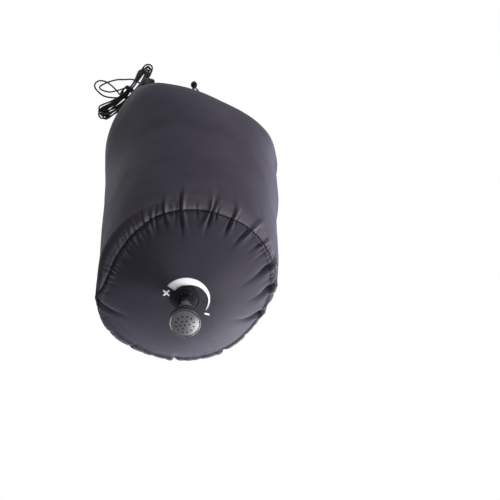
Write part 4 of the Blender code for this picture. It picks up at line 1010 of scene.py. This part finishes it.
def cloth_piece(name, rows, material):
    """Closed cloth from some rows of the body's grid, thickened towards the inside."""
    grid = body[rows] - HANG
    count = grid.shape[0]
    index = np.arange(count * COLUMNS).reshape(count, COLUMNS)
    right = np.roll(index, -1, axis=1)
    faces = np.stack([index[:-1], right[:-1], right[1:], index[1:]], -1).reshape(-1, 4)
    mesh = bpy.data.meshes.new(name)
    mesh.vertices.add(count * COLUMNS)
    mesh.vertices.foreach_set("co", grid.astype(np.float32).ravel())
    mesh.loops.add(faces.size)
    mesh.loops.foreach_set("vertex_index", faces.astype(np.int32).ravel())
    mesh.polygons.add(len(faces))
    mesh.polygons.foreach_set("loop_start", np.arange(0, faces.size, 4, dtype=np.int32))
    across = np.arange(COLUMNS + 1) / COLUMNS * math.tau * WALL_RADIUS
    left = np.broadcast_to(across[:-1], (count - 1, COLUMNS))
    beside = np.broadcast_to(across[1:], (count - 1, COLUMNS))
    low = np.broadcast_to(run[rows][:-1, None], (count - 1, COLUMNS))
    top = np.broadcast_to(run[rows][1:, None], (count - 1, COLUMNS))
    corners = np.stack([left, low, beside, low, beside, top, left, top], -1)
    layer = mesh.uv_layers.new(name="map")
    layer.data.foreach_set("uv", corners.astype(np.float32).ravel())
    mesh.update(calc_edges=True)
    mesh.validate()
    piece = add_piece(name, mesh, material, "bag")
    thicken(piece, CLOTH_THICKNESS)
    return piece


wall_cloth = cloth_piece("wall_cloth", slice(SEAM_ROW, None), wall_nylon)
base_cloth = cloth_piece("base_cloth", slice(0, SEAM_ROW + 1), base_nylon)
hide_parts("bag_wall", "side_seam_tape")
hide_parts("base_panel", "seam_binding")
print("wall faces", len(wall_cloth.data.polygons), "base faces", len(base_cloth.data.polygons))

# %% [markdown]
# A tapering crescent round the spout shows which way to turn the head: thick for more
# water, thin for less, with a plus and a minus at its ends. It is printed on the cloth,
# so each mark is a thin skin of ink that follows the base's surface.

# %% Printed scale
INK_LIFT = 0.00016
CRESCENT_OUTER = 0.0256
CRESCENT_START = 142.0
CRESCENT_END = -34.6
CRESCENT_TAPER = ([0.0, 0.29, 0.65, 0.80, 1.0], [0.617, 0.625, 0.840, 0.930, 0.988])
DARK_EDGE = 0.0009
BAR_WIDTH = 0.0020
PLUS_LENGTH = 0.0092
MINUS_LENGTH = 0.0056


def picture_direction(degrees):
    """Direction on the base for an angle in the picture."""
    angle = math.radians(degrees)
    flat_right = Vector((rightward.x, rightward.y)).normalized()
    flat_up = Vector((upward.x, upward.y)).normalized()
    return flat_right * math.cos(angle) + flat_up * math.sin(angle)


def on_base(x, y, lift=INK_LIFT):
    """Point on the base's outer face, lifted off it, from the hang point."""
    radius = math.hypot(x, y)
    share = max(0.0, (radius - CLAMP_RADIUS) / (SEAM_RADIUS - CLAMP_RADIUS))
    towards = (x * math.cos(HIGH_SIDE) + y * math.sin(HIGH_SIDE)) / max(radius, GAP)
    level = -BASE_SAG * (1 - share ** 2) + RIM_TILT * towards * share ** 2 - lift
    return Vector((x - HANG[0], y - HANG[1], level - HANG[2]))


def ink_patch(name, outline_rows, material, lift):
    """Thin closed skin of ink over rows of (x, y) points."""
    rows, columns = len(outline_rows), len(outline_rows[0])
    verts = [on_base(x, y, lift) for row in outline_rows for x, y in row]
    starts = [i * columns + j for i in range(rows - 1) for j in range(columns - 1)]
    faces = [(at, at + 1, at + columns + 1, at + columns) for at in starts]
    mesh = new_mesh(name, verts, faces)
    if mesh.polygons[0].normal.z > 0:
        mesh.flip_normals()
    piece = add_piece(name, mesh, material, "bag")
    thicken(piece, lift * 0.6)
    return piece


def ink(name, colour, roughness):
    mat, tree, shader = new_material(name, colour, roughness)
    grain = noise(tree, object_coordinates(tree), 900.0, 3.0)
    tone(tree, shader, grain, 0.93, 1.03, colour)
    bump(tree, shader, grain, 0.00005, 0.4)
    return mat


white_ink = ink("white_ink", (0.92, 0.92, 0.94), 0.45)
dark_ink = ink("dark_ink", (0.012, 0.012, 0.014), 0.40)


def crescent_rows(grow, start, end, steps=72):
    """Rows of points across the crescent, from its thick end to its thin end."""
    rows = []
    for i in range(steps + 1):
        degrees = start + (end - start) * i / steps
        gone = (CRESCENT_START - degrees) / (CRESCENT_START - CRESCENT_END)
        inner = float(np.interp(min(1.0, max(0.0, gone)), *CRESCENT_TAPER))
        way = picture_direction(degrees)
        far = CRESCENT_OUTER + grow
        near = min(CRESCENT_OUTER * inner - grow, far - 0.0002)
        radii = [near + (far - near) * k / 6 for k in range(7)]
        rows.append([(way.x * radius, way.y * radius) for radius in radii])
    return rows


def bar_rows(middle, along, length):
    """Rows of points of a straight bar."""
    across = Vector((-along.y, along.x))
    rows = []
    for i in range(7):
        spot = middle + along * ((i / 6 - 0.5) * length)
        rows.append([tuple(spot + across * (k / 2 - 0.5) * BAR_WIDTH) for k in range(3)])
    return rows


crescent_shape = crescent_rows(0.0, CRESCENT_START, CRESCENT_END)
crescent = ink_patch("scale_crescent", crescent_shape, white_ink, INK_LIFT)
halo_shape = crescent_rows(DARK_EDGE, CRESCENT_START + 3.0, CRESCENT_END - 3.4)
halo = ink_patch("scale_crescent_edge", halo_shape, dark_ink, INK_LIFT / 2)
plus_middle = picture_direction(162.5) * CRESCENT_OUTER * 0.89
plus_along = picture_direction(45.0)
plus_across = Vector((-plus_along.y, plus_along.x))
minus_middle = picture_direction(-42.0) * CRESCENT_OUTER * 1.16
minus_along = picture_direction(-22.0)
BARS = {
    "scale_plus_bar": (plus_middle, plus_along, PLUS_LENGTH, INK_LIFT),
    "scale_plus_cross": (plus_middle, plus_across, PLUS_LENGTH, INK_LIFT * 1.2),
    "scale_minus_bar": (minus_middle, minus_along, MINUS_LENGTH, INK_LIFT),
}
for bar_name, (middle, along, length, lift) in BARS.items():
    ink_patch(bar_name, bar_rows(middle, along, length), white_ink, lift)
print("crescent faces", len(crescent.data.polygons), "and edge faces", len(halo.data.polygons))

# %% [markdown]
# The collar is rolled up tightly. Its section is a spiral of one sheet, 1 mm thick, that
# stands for the two layers of cloth rolled up together, and it is swept along the curved
# roll. The inner side of each bend is shorter, so the cloth ripples there, and the roll
# swells and shrinks a little along its length.

# %% Rolled collar
ROLL_FLAT = 0.0102
HALF_TURNS = 4
RIPPLE = 0.00045
RIPPLE_PITCH = 0.0068


def roll_section(steps=9):
    """Both faces of the rolled sheet as (y, outward) points."""
    faces = []
    for side in (0.0, ROLL_SHEET):
        points = [(0.0, -(CORE_HALF + side))]
        for half in range(HALF_TURNS):
            sign = 1 if half % 2 == 0 else -1
            for k in range(steps + 1):
                turns = half + k / steps
                radius = CORE_HALF + side + ROLL_PITCH * turns / 2
                angle = math.pi * k / steps
                y = sign * (ROLL_FLAT + radius * math.sin(angle))
                points.append((y, -sign * radius * math.cos(angle)))
        last = CORE_HALF + side + ROLL_PITCH * HALF_TURNS / 2
        points.append((0.0, -last))
        faces.append(np.array(points))
    return faces


def swept_sheet(name, faces, arcs, material):
    """Closed sheet swept along the roll's path."""
    ring = np.concatenate([faces[0], faces[1][::-1]])
    count = len(ring)
    verts = []
    for arc in arcs:
        y = ring[:, 0].copy()
        out = ring[:, 1].copy()
        inner = np.clip(-out / ROLL_OUTER, 0, 1)
        uneven = 1.3 * math.sin(arc * 170)
        wave = math.sin(math.tau * abs(arc) / RIPPLE_PITCH + uneven)
        wave = RIPPLE * (0.4 + inner) * wave
        bend = min(1.0, (abs(arc) / 0.09) ** 2)
        swell = 1 + 0.05 * math.sin(arc * 95.0 + 0.6) + 0.03 * math.sin(arc * 230.0)
        out = out * swell + np.sign(out) * wave * bend
        y = y * (1 + 0.02 * math.sin(arc * 120.0))
        x, z = roll_point(np.full(count, arc), out)
        verts.append(np.stack([x, y, z], 1) - HANG)
    verts = np.array(verts)
    rows = len(arcs)
    index = np.arange(rows * count).reshape(rows, count)
    beside = np.roll(index, -1, axis=1)
    quads = np.stack([index[:-1], beside[:-1], beside[1:], index[1:]], -1)
    quads = quads.reshape(-1, 4).tolist()
    half = count // 2
    for row, flip in ((index[0], True), (index[-1], False)):
        first, second = row[:half], row[half:][::-1]
        for j in range(half - 1):
            quad = [int(first[j]), int(first[j + 1]), int(second[j + 1]), int(second[j])]
            quads.append(quad[::-1] if flip else quad)
    sheet_run = np.cumsum(np.linalg.norm(np.diff(ring, axis=0), axis=1))
    around = np.tile(np.concatenate([[0.0], sheet_run]), rows)
    along = np.repeat(np.array(arcs), count)
    used = np.array(quads).ravel()
    corners = np.stack([around[used], along[used]], 1)
    mesh = new_mesh(name, verts.reshape(-1, 3).tolist(), quads, corners)
    return add_piece(name, mesh, material, "bag", 55.0)


roll_arcs = list(np.linspace(-ROLL_HALF, ROLL_HALF, 141))
collar = swept_sheet("rolled_collar", roll_section(), roll_arcs, collar_nylon)
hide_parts("rolled_top")
print("collar faces", len(collar.data.polygons))

# %% [markdown]
# The strap ends are sewn into the roll, run up to the buckle, pass round its bar and
# are folded back and stitched. They are flat woven webbing, so each is a flat strip
# with rounded edges, and the weave is in its material.

# %% Webbing
STRAP_THICKNESS = 0.0016
STRAP_WIDTH = 0.0200
STRAP_RETURN = 0.0180
BUCKLE_HALF = 0.0250
BAR_RADIUS = 0.0018
STRAP_OFFSET = -(CORE_HALF - GAP - STRAP_THICKNESS / 2)
WRAP_RADIUS = BAR_RADIUS * 1.32 + GAP + STRAP_THICKNESS / 2
BAR_X = BUCKLE_HALF - BAR_RADIUS
RIB_PITCH = 0.0011
TWILL_PITCH_ACROSS = 0.0014
TWILL_PITCH_ALONG = 0.0022


def webbing():
    mat, tree, shader = new_material("black_webbing", (0.014, 0.014, 0.015), 0.80)
    shader.inputs["Sheen Weight"].default_value = 0.4
    uv, across, along = uv_parts(tree)
    ribs = maths(tree, "SINE", phase(tree, along, RIB_PITCH))
    lean = phase(tree, across, TWILL_PITCH_ACROSS)
    climb = phase(tree, along, TWILL_PITCH_ALONG)
    twill = maths(tree, "SINE", maths(tree, "ADD", lean, climb))
    weave = maths(tree, "MULTIPLY_ADD", twill, 0.6, ribs)
    fuzz = noise(tree, object_coordinates(tree), 2500.0, 2.0)
    # Painted shade and light: the weave's grooves are darker and its ridges lighter, following the
    # weave's height.
    height = maths(tree, "MULTIPLY_ADD", weave, 0.25, 0.5)
    tone(tree, shader, height, 0.6, 1.5, (0.016, 0.016, 0.017))
    bump(tree, shader, weave, 0.00012, 0.8)
    bump(tree, shader, fuzz, 0.00006, 0.5)
    return mat


def strap_centre():
    """Centre line (x, z) of the strap on the +X side, from the hang point."""
    points = []
    for arc in np.linspace(ROLL_HALF - 0.014, ROLL_HALF, 6):
        x, z = roll_point(arc, STRAP_OFFSET)
        points.append(Vector((float(x) - TOP_SHIFT, float(z) - HANG[2])))
    way = Vector((math.cos(ROLL_END_HEADING), math.sin(ROLL_END_HEADING)))
    out = Vector((math.sin(ROLL_END_HEADING), -math.cos(ROLL_END_HEADING)))
    bar = Vector((BAR_X, BUCKLE_HALF_THICKNESS))
    start, end = points[-1], bar + WRAP_RADIUS * out
    for k in range(1, 24):
        points.append(start.lerp(end, k / 24))
    for i in range(25):
        angle = math.pi * i / 24
        points.append(bar + WRAP_RADIUS * (out * math.cos(angle) + way * math.sin(angle)))
    near = STRAP_THICKNESS + GAP * 1.5 - WRAP_RADIUS
    for share in (0.45, 0.6, 0.75, 0.9, 1.0):
        points.append(bar - way * STRAP_RETURN * share + out * -near)
    return points


def strap_piece(name, sign, line, material):
    """Flat strap with rounded edges along the line, on the side that the sign gives."""
    half = STRAP_THICKNESS / 2
    rounding = half * 0.6
    edge = []
    for k in range(7):
        angle = -math.pi / 2 + math.pi * k / 6
        y = STRAP_WIDTH / 2 - rounding + rounding * math.cos(angle)
        edge.append((y, half * math.sin(angle)))
    ring = edge + [(-y, -t) for y, t in edge]
    verts = []
    for point, way in zip(line, ways_along(line)):
        normal = Vector((way.y, -way.x))
        for y, t in ring:
            spot = point + normal * t
            verts.append((sign * spot.x, y, spot.y))
    count = len(ring)
    faces = ring_faces(len(line), count)
    runs = lengths_along(line)
    corners = [(ring[v % count][0], runs[v // count]) for face in faces for v in face]
    mesh = new_mesh(name, verts, faces, corners)
    if sign > 0:
        mesh.flip_normals()
    return add_piece(name, mesh, material, angle=60.0)


black_webbing = webbing()
strap_line = strap_centre()
socket_strap = strap_piece("socket_strap", -1, strap_line, black_webbing)
plug_strap = strap_piece("plug_strap", 1, strap_line, black_webbing)
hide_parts("strap_socket_side")
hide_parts("strap_plug_side")
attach(socket_strap, "bag")
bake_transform(plug_strap)
print("strap runs", round(line_length(strap_line), 3), "m")

# %% [markdown]
# The hard pieces are moulded plastic and rubber. They share one recipe: a slightly
# uneven colour and gloss, and a fine grain whose depth differs from piece to piece. The
# buckle and the valve's small inner pieces keep the solids' shape and get only a finish.

# %% Moulded plastics and rubber
def moulded(name, colour, roughness, grain=0.00003, coat=0.0, specular=0.35):
    mat, tree, shader = new_material(name, colour, roughness, specular=specular)
    shader.inputs["Coat Weight"].default_value = coat
    shader.inputs["Coat Roughness"].default_value = 0.08
    fine = noise(tree, object_coordinates(tree), 2200.0, 2.0)
    broad = noise(tree, object_coordinates(tree), 90.0, 3.0)
    tone(tree, shader, broad, 0.85, 1.15, colour)
    rough_range(tree, shader, broad, roughness - 0.04, roughness + 0.05)
    bump(tree, shader, fine, grain, 0.5)
    return mat


head_plastic = moulded("head_plastic", (0.014, 0.014, 0.017), 0.26, coat=0.35, specular=0.4)
face_plastic = moulded("face_plastic", (0.018, 0.017, 0.025), 0.42, coat=0.05, specular=1.0)
nut_plastic = moulded("nut_plastic", (0.009, 0.008, 0.013), 0.52, specular=0.12)
spout_plastic = moulded("spout_plastic", (0.018, 0.018, 0.020), 0.42)
buckle_plastic = moulded("buckle_plastic", (0.012, 0.012, 0.013), 0.34, grain=0.00006)
seal_rubber = moulded("seal_rubber", (0.020, 0.020, 0.020), 0.72, grain=0.00005)
strip_plastic = moulded("strip_plastic", (0.060, 0.060, 0.064), 0.50)

PLAIN_NODES = {
    "buckle_socket": buckle_plastic, "buckle_plug": buckle_plastic,
    "buckle_prong_front": buckle_plastic, "buckle_prong_back": buckle_plastic,
    "spout": spout_plastic, "spout_inner_washer": seal_rubber,
    "spout_outer_washer": seal_rubber, "head_seal": seal_rubber,
    "valve_plug": seal_rubber, "plug_carrier": head_plastic,
    "stiffener_strip": strip_plastic,
}
for node_name, finish_material in PLAIN_NODES.items():
    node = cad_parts[node_name]
    node.data.materials.clear()
    node.data.materials.append(finish_material)
print("nodes with a new finish", len(PLAIN_NODES))

# %% [markdown]
# The valve's outer pieces are round, so each is turned from a closed profile of radius
# and height. A screw modifier could spin a profile too. Plain mesh code needs no modifier
# to apply, and it ends in a single point where a profile reaches the axis.

# %% Turned pieces
BASE_LEVEL = -BASE_SAG
VALVE_X = -TOP_SHIFT


def turned(name, profile, material, body_name, steps=96, smooth=35.0):
    """Solid of revolution about the valve's axis from a closed (radius, z) profile."""
    verts = []
    rows = []
    for radius, z in profile:
        level = z - HANG[2]
        if radius == 0.0:
            rows.append([len(verts)])
            verts.append((VALVE_X, 0.0, level))
            continue
        rows.append(list(range(len(verts), len(verts) + steps)))
        for cosine, sine in circle(steps):
            verts.append((VALVE_X + radius * cosine, radius * sine, level))
    faces = []
    for first, second in zip(rows, rows[1:] + rows[:1]):
        for j in range(steps):
            k = (j + 1) % steps
            if len(first) == 1 and len(second) == 1:
                continue
            if len(first) == 1:
                faces.append((first[0], second[j], second[k]))
            elif len(second) == 1:
                faces.append((first[j], first[k], second[0]))
            else:
                faces.append((first[j], first[k], second[k], second[j]))
    mesh = new_mesh(name, verts, faces)
    return add_piece(name, mesh, material, body_name, smooth)


def rounded(corner_in, corner, corner_out, radius, steps=5):
    """Points that round one corner of a profile."""
    corner = Vector(corner)
    start = corner + (Vector(corner_in) - corner).normalized() * radius
    end = corner + (Vector(corner_out) - corner).normalized() * radius
    points = []
    for k in range(steps + 1):
        t = k / steps
        points.append(tuple(start * (1 - t) ** 2 + corner * 2 * t * (1 - t) + end * t * t))
    return points


def rounded_profile(corners):
    """Closed profile from (radius, z, rounding) corners."""
    points = []
    count = len(corners)
    for i, (r, z, rounding) in enumerate(corners):
        if rounding == 0.0:
            points.append((r, z))
            continue
        before, after = corners[i - 1], corners[(i + 1) % count]
        points += rounded(before[:2], (r, z), after[:2], rounding)
    return points


# %% [markdown]
# The lock nut clamps the base cloth between two washers. It is a flat flange with a
# raised boss, and six finger notches in the boss. The notches follow from the angle:
# the boss's radius dips at each of them, so no cutter is needed.

# %% Lock nut
WASHER = 0.0012
NUT_TOP = BASE_LEVEL - 2 * GAP - WASHER
NUT_RADIUS = 0.0155
NUT_FLANGE = 0.0022
NUT_BOSS_RADIUS = 0.0112
NUT_BOSS = 0.0035
NUT_BOTTOM = NUT_TOP - NUT_FLANGE - NUT_BOSS
NUT_BORE = 0.0063
NOTCHES = 6
NOTCH_DEPTH = 0.0017
NOTCH_DEGREES = 8.0
step_level = NUT_TOP - NUT_FLANGE
nut_profile = rounded_profile([
    (NUT_BORE, NUT_TOP, 0.0), (NUT_RADIUS, NUT_TOP, 0.0004), (NUT_RADIUS, step_level, 0.0009),
    (NUT_BOSS_RADIUS + 0.0006, step_level, 0.0005), (NUT_BOSS_RADIUS, NUT_BOTTOM, 0.0008),
    (NUT_BORE, NUT_BOTTOM, 0.0004)])
nut = turned("valve_lock_nut", nut_profile, nut_plastic, "bag", steps=144)
for vert in nut.data.vertices:
    x, y = vert.co.x - VALVE_X, vert.co.y
    level = vert.co.z + HANG[2]
    radius = math.hypot(x, y)
    on_boss = NUT_BOSS_RADIUS * 0.9 < radius < NUT_BOSS_RADIUS * 1.04
    if on_boss and level < step_level - 0.0001:
        aside = math.degrees(math.atan2(y, x)) % (360.0 / NOTCHES) - 180.0 / NOTCHES
        dip = NOTCH_DEPTH * math.exp(-(aside / NOTCH_DEGREES) ** 4)
        vert.co.x -= x / radius * dip
        vert.co.y -= y / radius * dip
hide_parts("lock_nut")

# %% [markdown]
# The shower head is a neck that flares into a bell. The profile runs down the outside,
# round the lip and up the inside, where it leaves room for the spray face, the plug
# and the O-ring. Small roundings catch the light as they do on a moulding.

# %% Shower head
NECK_BORE = 0.0063
NECK_RADIUS = NECK_BORE + 0.0025
HEAD_CLEARANCE = 0.0006
NECK_TOP = NUT_BOTTOM - HEAD_CLEARANCE
NECK_LOW = BASE_LEVEL - 0.0290
RIM_TOP = BASE_LEVEL - 0.0480
RIM_BOTTOM = BASE_LEVEL - 0.0545
BELL_RADIUS = 0.0172
BELL_WALL = 0.0017
FACE_THICKNESS = 0.0016


def flare(share):
    swell = 1 - math.cos(share * math.pi / 2)
    return NECK_RADIUS + (BELL_RADIUS - NECK_RADIUS) * (share * 0.55 + swell * 0.45)


def bell_level(share):
    return NECK_LOW + (RIM_TOP - NECK_LOW) * share


outside = [(NECK_BORE + 0.0004, NECK_TOP), (NECK_RADIUS - 0.0006, NECK_TOP),
           (NECK_RADIUS - 0.0002, NECK_TOP - 0.0002), (NECK_RADIUS, NECK_TOP - 0.0008),
           (NECK_RADIUS, NECK_LOW + 0.002)]
outside += [(flare(i / 24), bell_level(i / 24)) for i in range(25)]
lip = [(BELL_RADIUS + 0.00002, RIM_TOP - 0.0008), (BELL_RADIUS, RIM_BOTTOM + 0.0012),
       (BELL_RADIUS - 0.0002, RIM_BOTTOM + 0.0005), (BELL_RADIUS - 0.0006, RIM_BOTTOM + 0.0001),
       (BELL_RADIUS - 0.0011, RIM_BOTTOM), (BELL_RADIUS - BELL_WALL, RIM_BOTTOM + 0.0003)]
ledge = RIM_BOTTOM + FACE_THICKNESS + GAP
inside = [(BELL_RADIUS - BELL_WALL, ledge), (BELL_RADIUS - BELL_WALL - 0.0012, ledge),
          (BELL_RADIUS - BELL_WALL - 0.0012, RIM_TOP)]
inside += [(flare(i / 24) - BELL_WALL - 0.0006, bell_level(i / 24)) for i in range(22, 3, -2)]
inside += [(NECK_BORE, NECK_LOW + 0.0005), (NECK_BORE, NECK_TOP - 0.0004)]
bell = turned("head_bell", outside + lip + inside, head_plastic, "head", steps=128)
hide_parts("shower_head")

# %% [markdown]
# The spray face is a domed disc with nineteen holes. Cutting them gives real holes
# with sharp edges, which a picture of dots would not. The cutters are cones, so each
# hole has a slight countersink.

# %% Spray face
FACE_RADIUS = BELL_RADIUS - BELL_WALL - 0.0002
FACE_DOME = 0.0038
HOLE_RINGS = ((0.0, 1), (0.0050, 6), (0.0100, 12))
HOLE_SIDES = 20
CUTTER_PROFILE = ((-0.0010, 0.00140), (0.0006, 0.00082), (0.0040, 0.00082))
face_front = []
face_back = []
for i in range(17):
    share = 1 - i / 16
    drop = FACE_DOME * (1 - share * share)
    face_front.append((FACE_RADIUS * share, RIM_BOTTOM + 0.0002 - drop))
    face_back.append((FACE_RADIUS * share, RIM_BOTTOM + FACE_THICKNESS - drop))
face = turned("head_spray_face", face_front + face_back[::-1], face_plastic,
              "head", smooth=30.0)
cutter_verts = []
cutter_faces = []
for ring_radius, hole_count in HOLE_RINGS:
    for i in range(hole_count):
        angle = math.tau * (i + 0.25) / hole_count
        x, y = VALVE_X + ring_radius * math.cos(angle), ring_radius * math.sin(angle)
        level = RIM_BOTTOM - FACE_DOME * (1 - (ring_radius / FACE_RADIUS) ** 2) - HANG[2]
        first = len(cutter_verts)
        for rise, radius in CUTTER_PROFILE:
            cutter_verts += [(x + radius * cosine, y + radius * sine, level + rise)
                             for cosine, sine in circle(HOLE_SIDES)]
        for cutter_face in ring_faces(len(CUTTER_PROFILE), HOLE_SIDES):
            cutter_faces.append(tuple(first + v for v in cutter_face))
cutter_mesh = new_mesh("hole_cutter", cutter_verts, cutter_faces)
cutter = collection_link(bpy.data.objects.new("hole_cutter", cutter_mesh))
holes = face.modifiers.new("holes", "BOOLEAN")
holes.operation = "DIFFERENCE"
holes.solver = "EXACT"
holes.object = cutter
bpy.context.view_layer.update()
evaluated = face.evaluated_get(bpy.context.evaluated_depsgraph_get())
pierced = bpy.data.meshes.new_from_object(evaluated)
face.modifiers.clear()
face.data = pierced
bpy.data.objects.remove(cutter)
shade(face.data, 30.0)
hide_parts("spray_face")
hole_total = sum(count for _, count in HOLE_RINGS)
print("spray face", len(face.data.polygons), "faces,", hole_total, "holes")

# %% [markdown]
# The light is a plain studio of square soft lamps, placed by the camera's right, up and
# back. Two strong ones stand low on the right and light the base. One of about half
# their strength stands at the upper right and lights the wall. Weak ones fill in from
# the right, from above and from the camera's side, and one behind gives the left edge a
# pale rim. The strengths were tuned by trial until a set of points on the bag came near
# the photograph's brightness.
#
# The white surroundings show to the camera, in reflections and through clear things.
# They add nothing to the cloth's diffuse light, but its glossy part does reflect them,
# most of all where it is seen at a grazing angle.

# %% Lamps, world and floor
AIM_ABOVE_SEAM = 0.12
LAMPS = {
    # right, up and back in metres; watts; size in metres
    "key": (0.99, -1.14, 0.53, 34.0, 1.0),
    "low_right": (0.79, -1.31, -0.47, 32.0, 1.0),
    "right_side": (1.58, 0.17, 0.17, 3.0, 1.0),
    "high_right": (0.47, 1.19, -0.98, 4.0, 0.5),
    "upper_right": (1.30, 0.80, 0.45, 15.5, 1.0),
    "front": (0.45, 0.15, 1.50, 3.4, 1.0),
    "behind": (-0.74, 0.54, -1.31, 7.5, 1.0),
}


def lamp(name, offset, watts, size):
    """Soft square lamp that faces the middle of the bag."""
    data = bpy.data.lights.new(name, "AREA")
    data.shape = "RECTANGLE"
    data.size = size
    data.size_y = size
    data.energy = watts
    thing = collection_link(bpy.data.objects.new(name, data))
    aim = seam_middle + Vector((0.0, 0.0, AIM_ABOVE_SEAM))
    thing.location = aim + offset
    thing.rotation_mode = "QUATERNION"
    thing.rotation_quaternion = offset.to_track_quat("Z", "Y")


for lamp_name, (right, up, back, watts, size) in LAMPS.items():
    lamp(lamp_name, from_camera(right, up, back), watts, size)


def background_ray(tree):
    """1 for a ray that should see the pale surroundings, 0 for one that gathers light."""
    path = tree.nodes.new("ShaderNodeLightPath").outputs
    seen = maths(tree, "MAXIMUM", path["Is Camera Ray"], path["Is Glossy Ray"])
    return maths(tree, "MAXIMUM", seen, path["Is Transmission Ray"])


FLOOR_GLOW = 0.70
FLOOR_REACH = 40.0
FLOOR_LEVEL = -2.75
WHITE = (1.0, 1.0, 1.0, 1.0)
SOFT_GREY = (0.08, 0.08, 0.085, 1.0)
world = bpy.data.worlds.new("studio")
bpy.context.scene.world = world
world.use_nodes = True
tree = world.node_tree
background = tree.nodes["Background"]
background.inputs["Color"].default_value = SOFT_GREY
white = add_node(tree, "ShaderNodeBackground", Color=WHITE, Strength=1.0)
mix = tree.nodes.new("ShaderNodeMixShader")
tree.links.new(background_ray(tree), mix.inputs[0])
tree.links.new(background.outputs[0], mix.inputs[1])
tree.links.new(white.outputs[0], mix.inputs[2])
tree.links.new(mix.outputs[0], tree.nodes["World Output"].inputs["Surface"])

floor_mat, floor_tree, floor_shader = new_material("pale_floor", (0.80, 0.80, 0.80), 0.7)
floor_grain = noise(floor_tree, object_coordinates(floor_tree), 4.0)
bump(floor_tree, floor_shader, floor_grain, 0.002, 0.2)
floor_shader.inputs["Emission Color"].default_value = WHITE
floor_tree.links.new(maths(floor_tree, "MULTIPLY", background_ray(floor_tree), FLOOR_GLOW),
                     floor_shader.inputs["Emission Strength"])
floor_corners = [(x * FLOOR_REACH, y * FLOOR_REACH, 0)
                 for x, y in ((-1, -1), (1, -1), (1, 1), (-1, 1))]
floor_mesh = new_mesh("floor", floor_corners, [(0, 1, 2, 3)])
floor = collection_link(bpy.data.objects.new("floor", floor_mesh))
floor.location.z = FLOOR_LEVEL
floor.data.materials.append(floor_mat)

bpy.context.scene.view_settings.view_transform = "Standard"
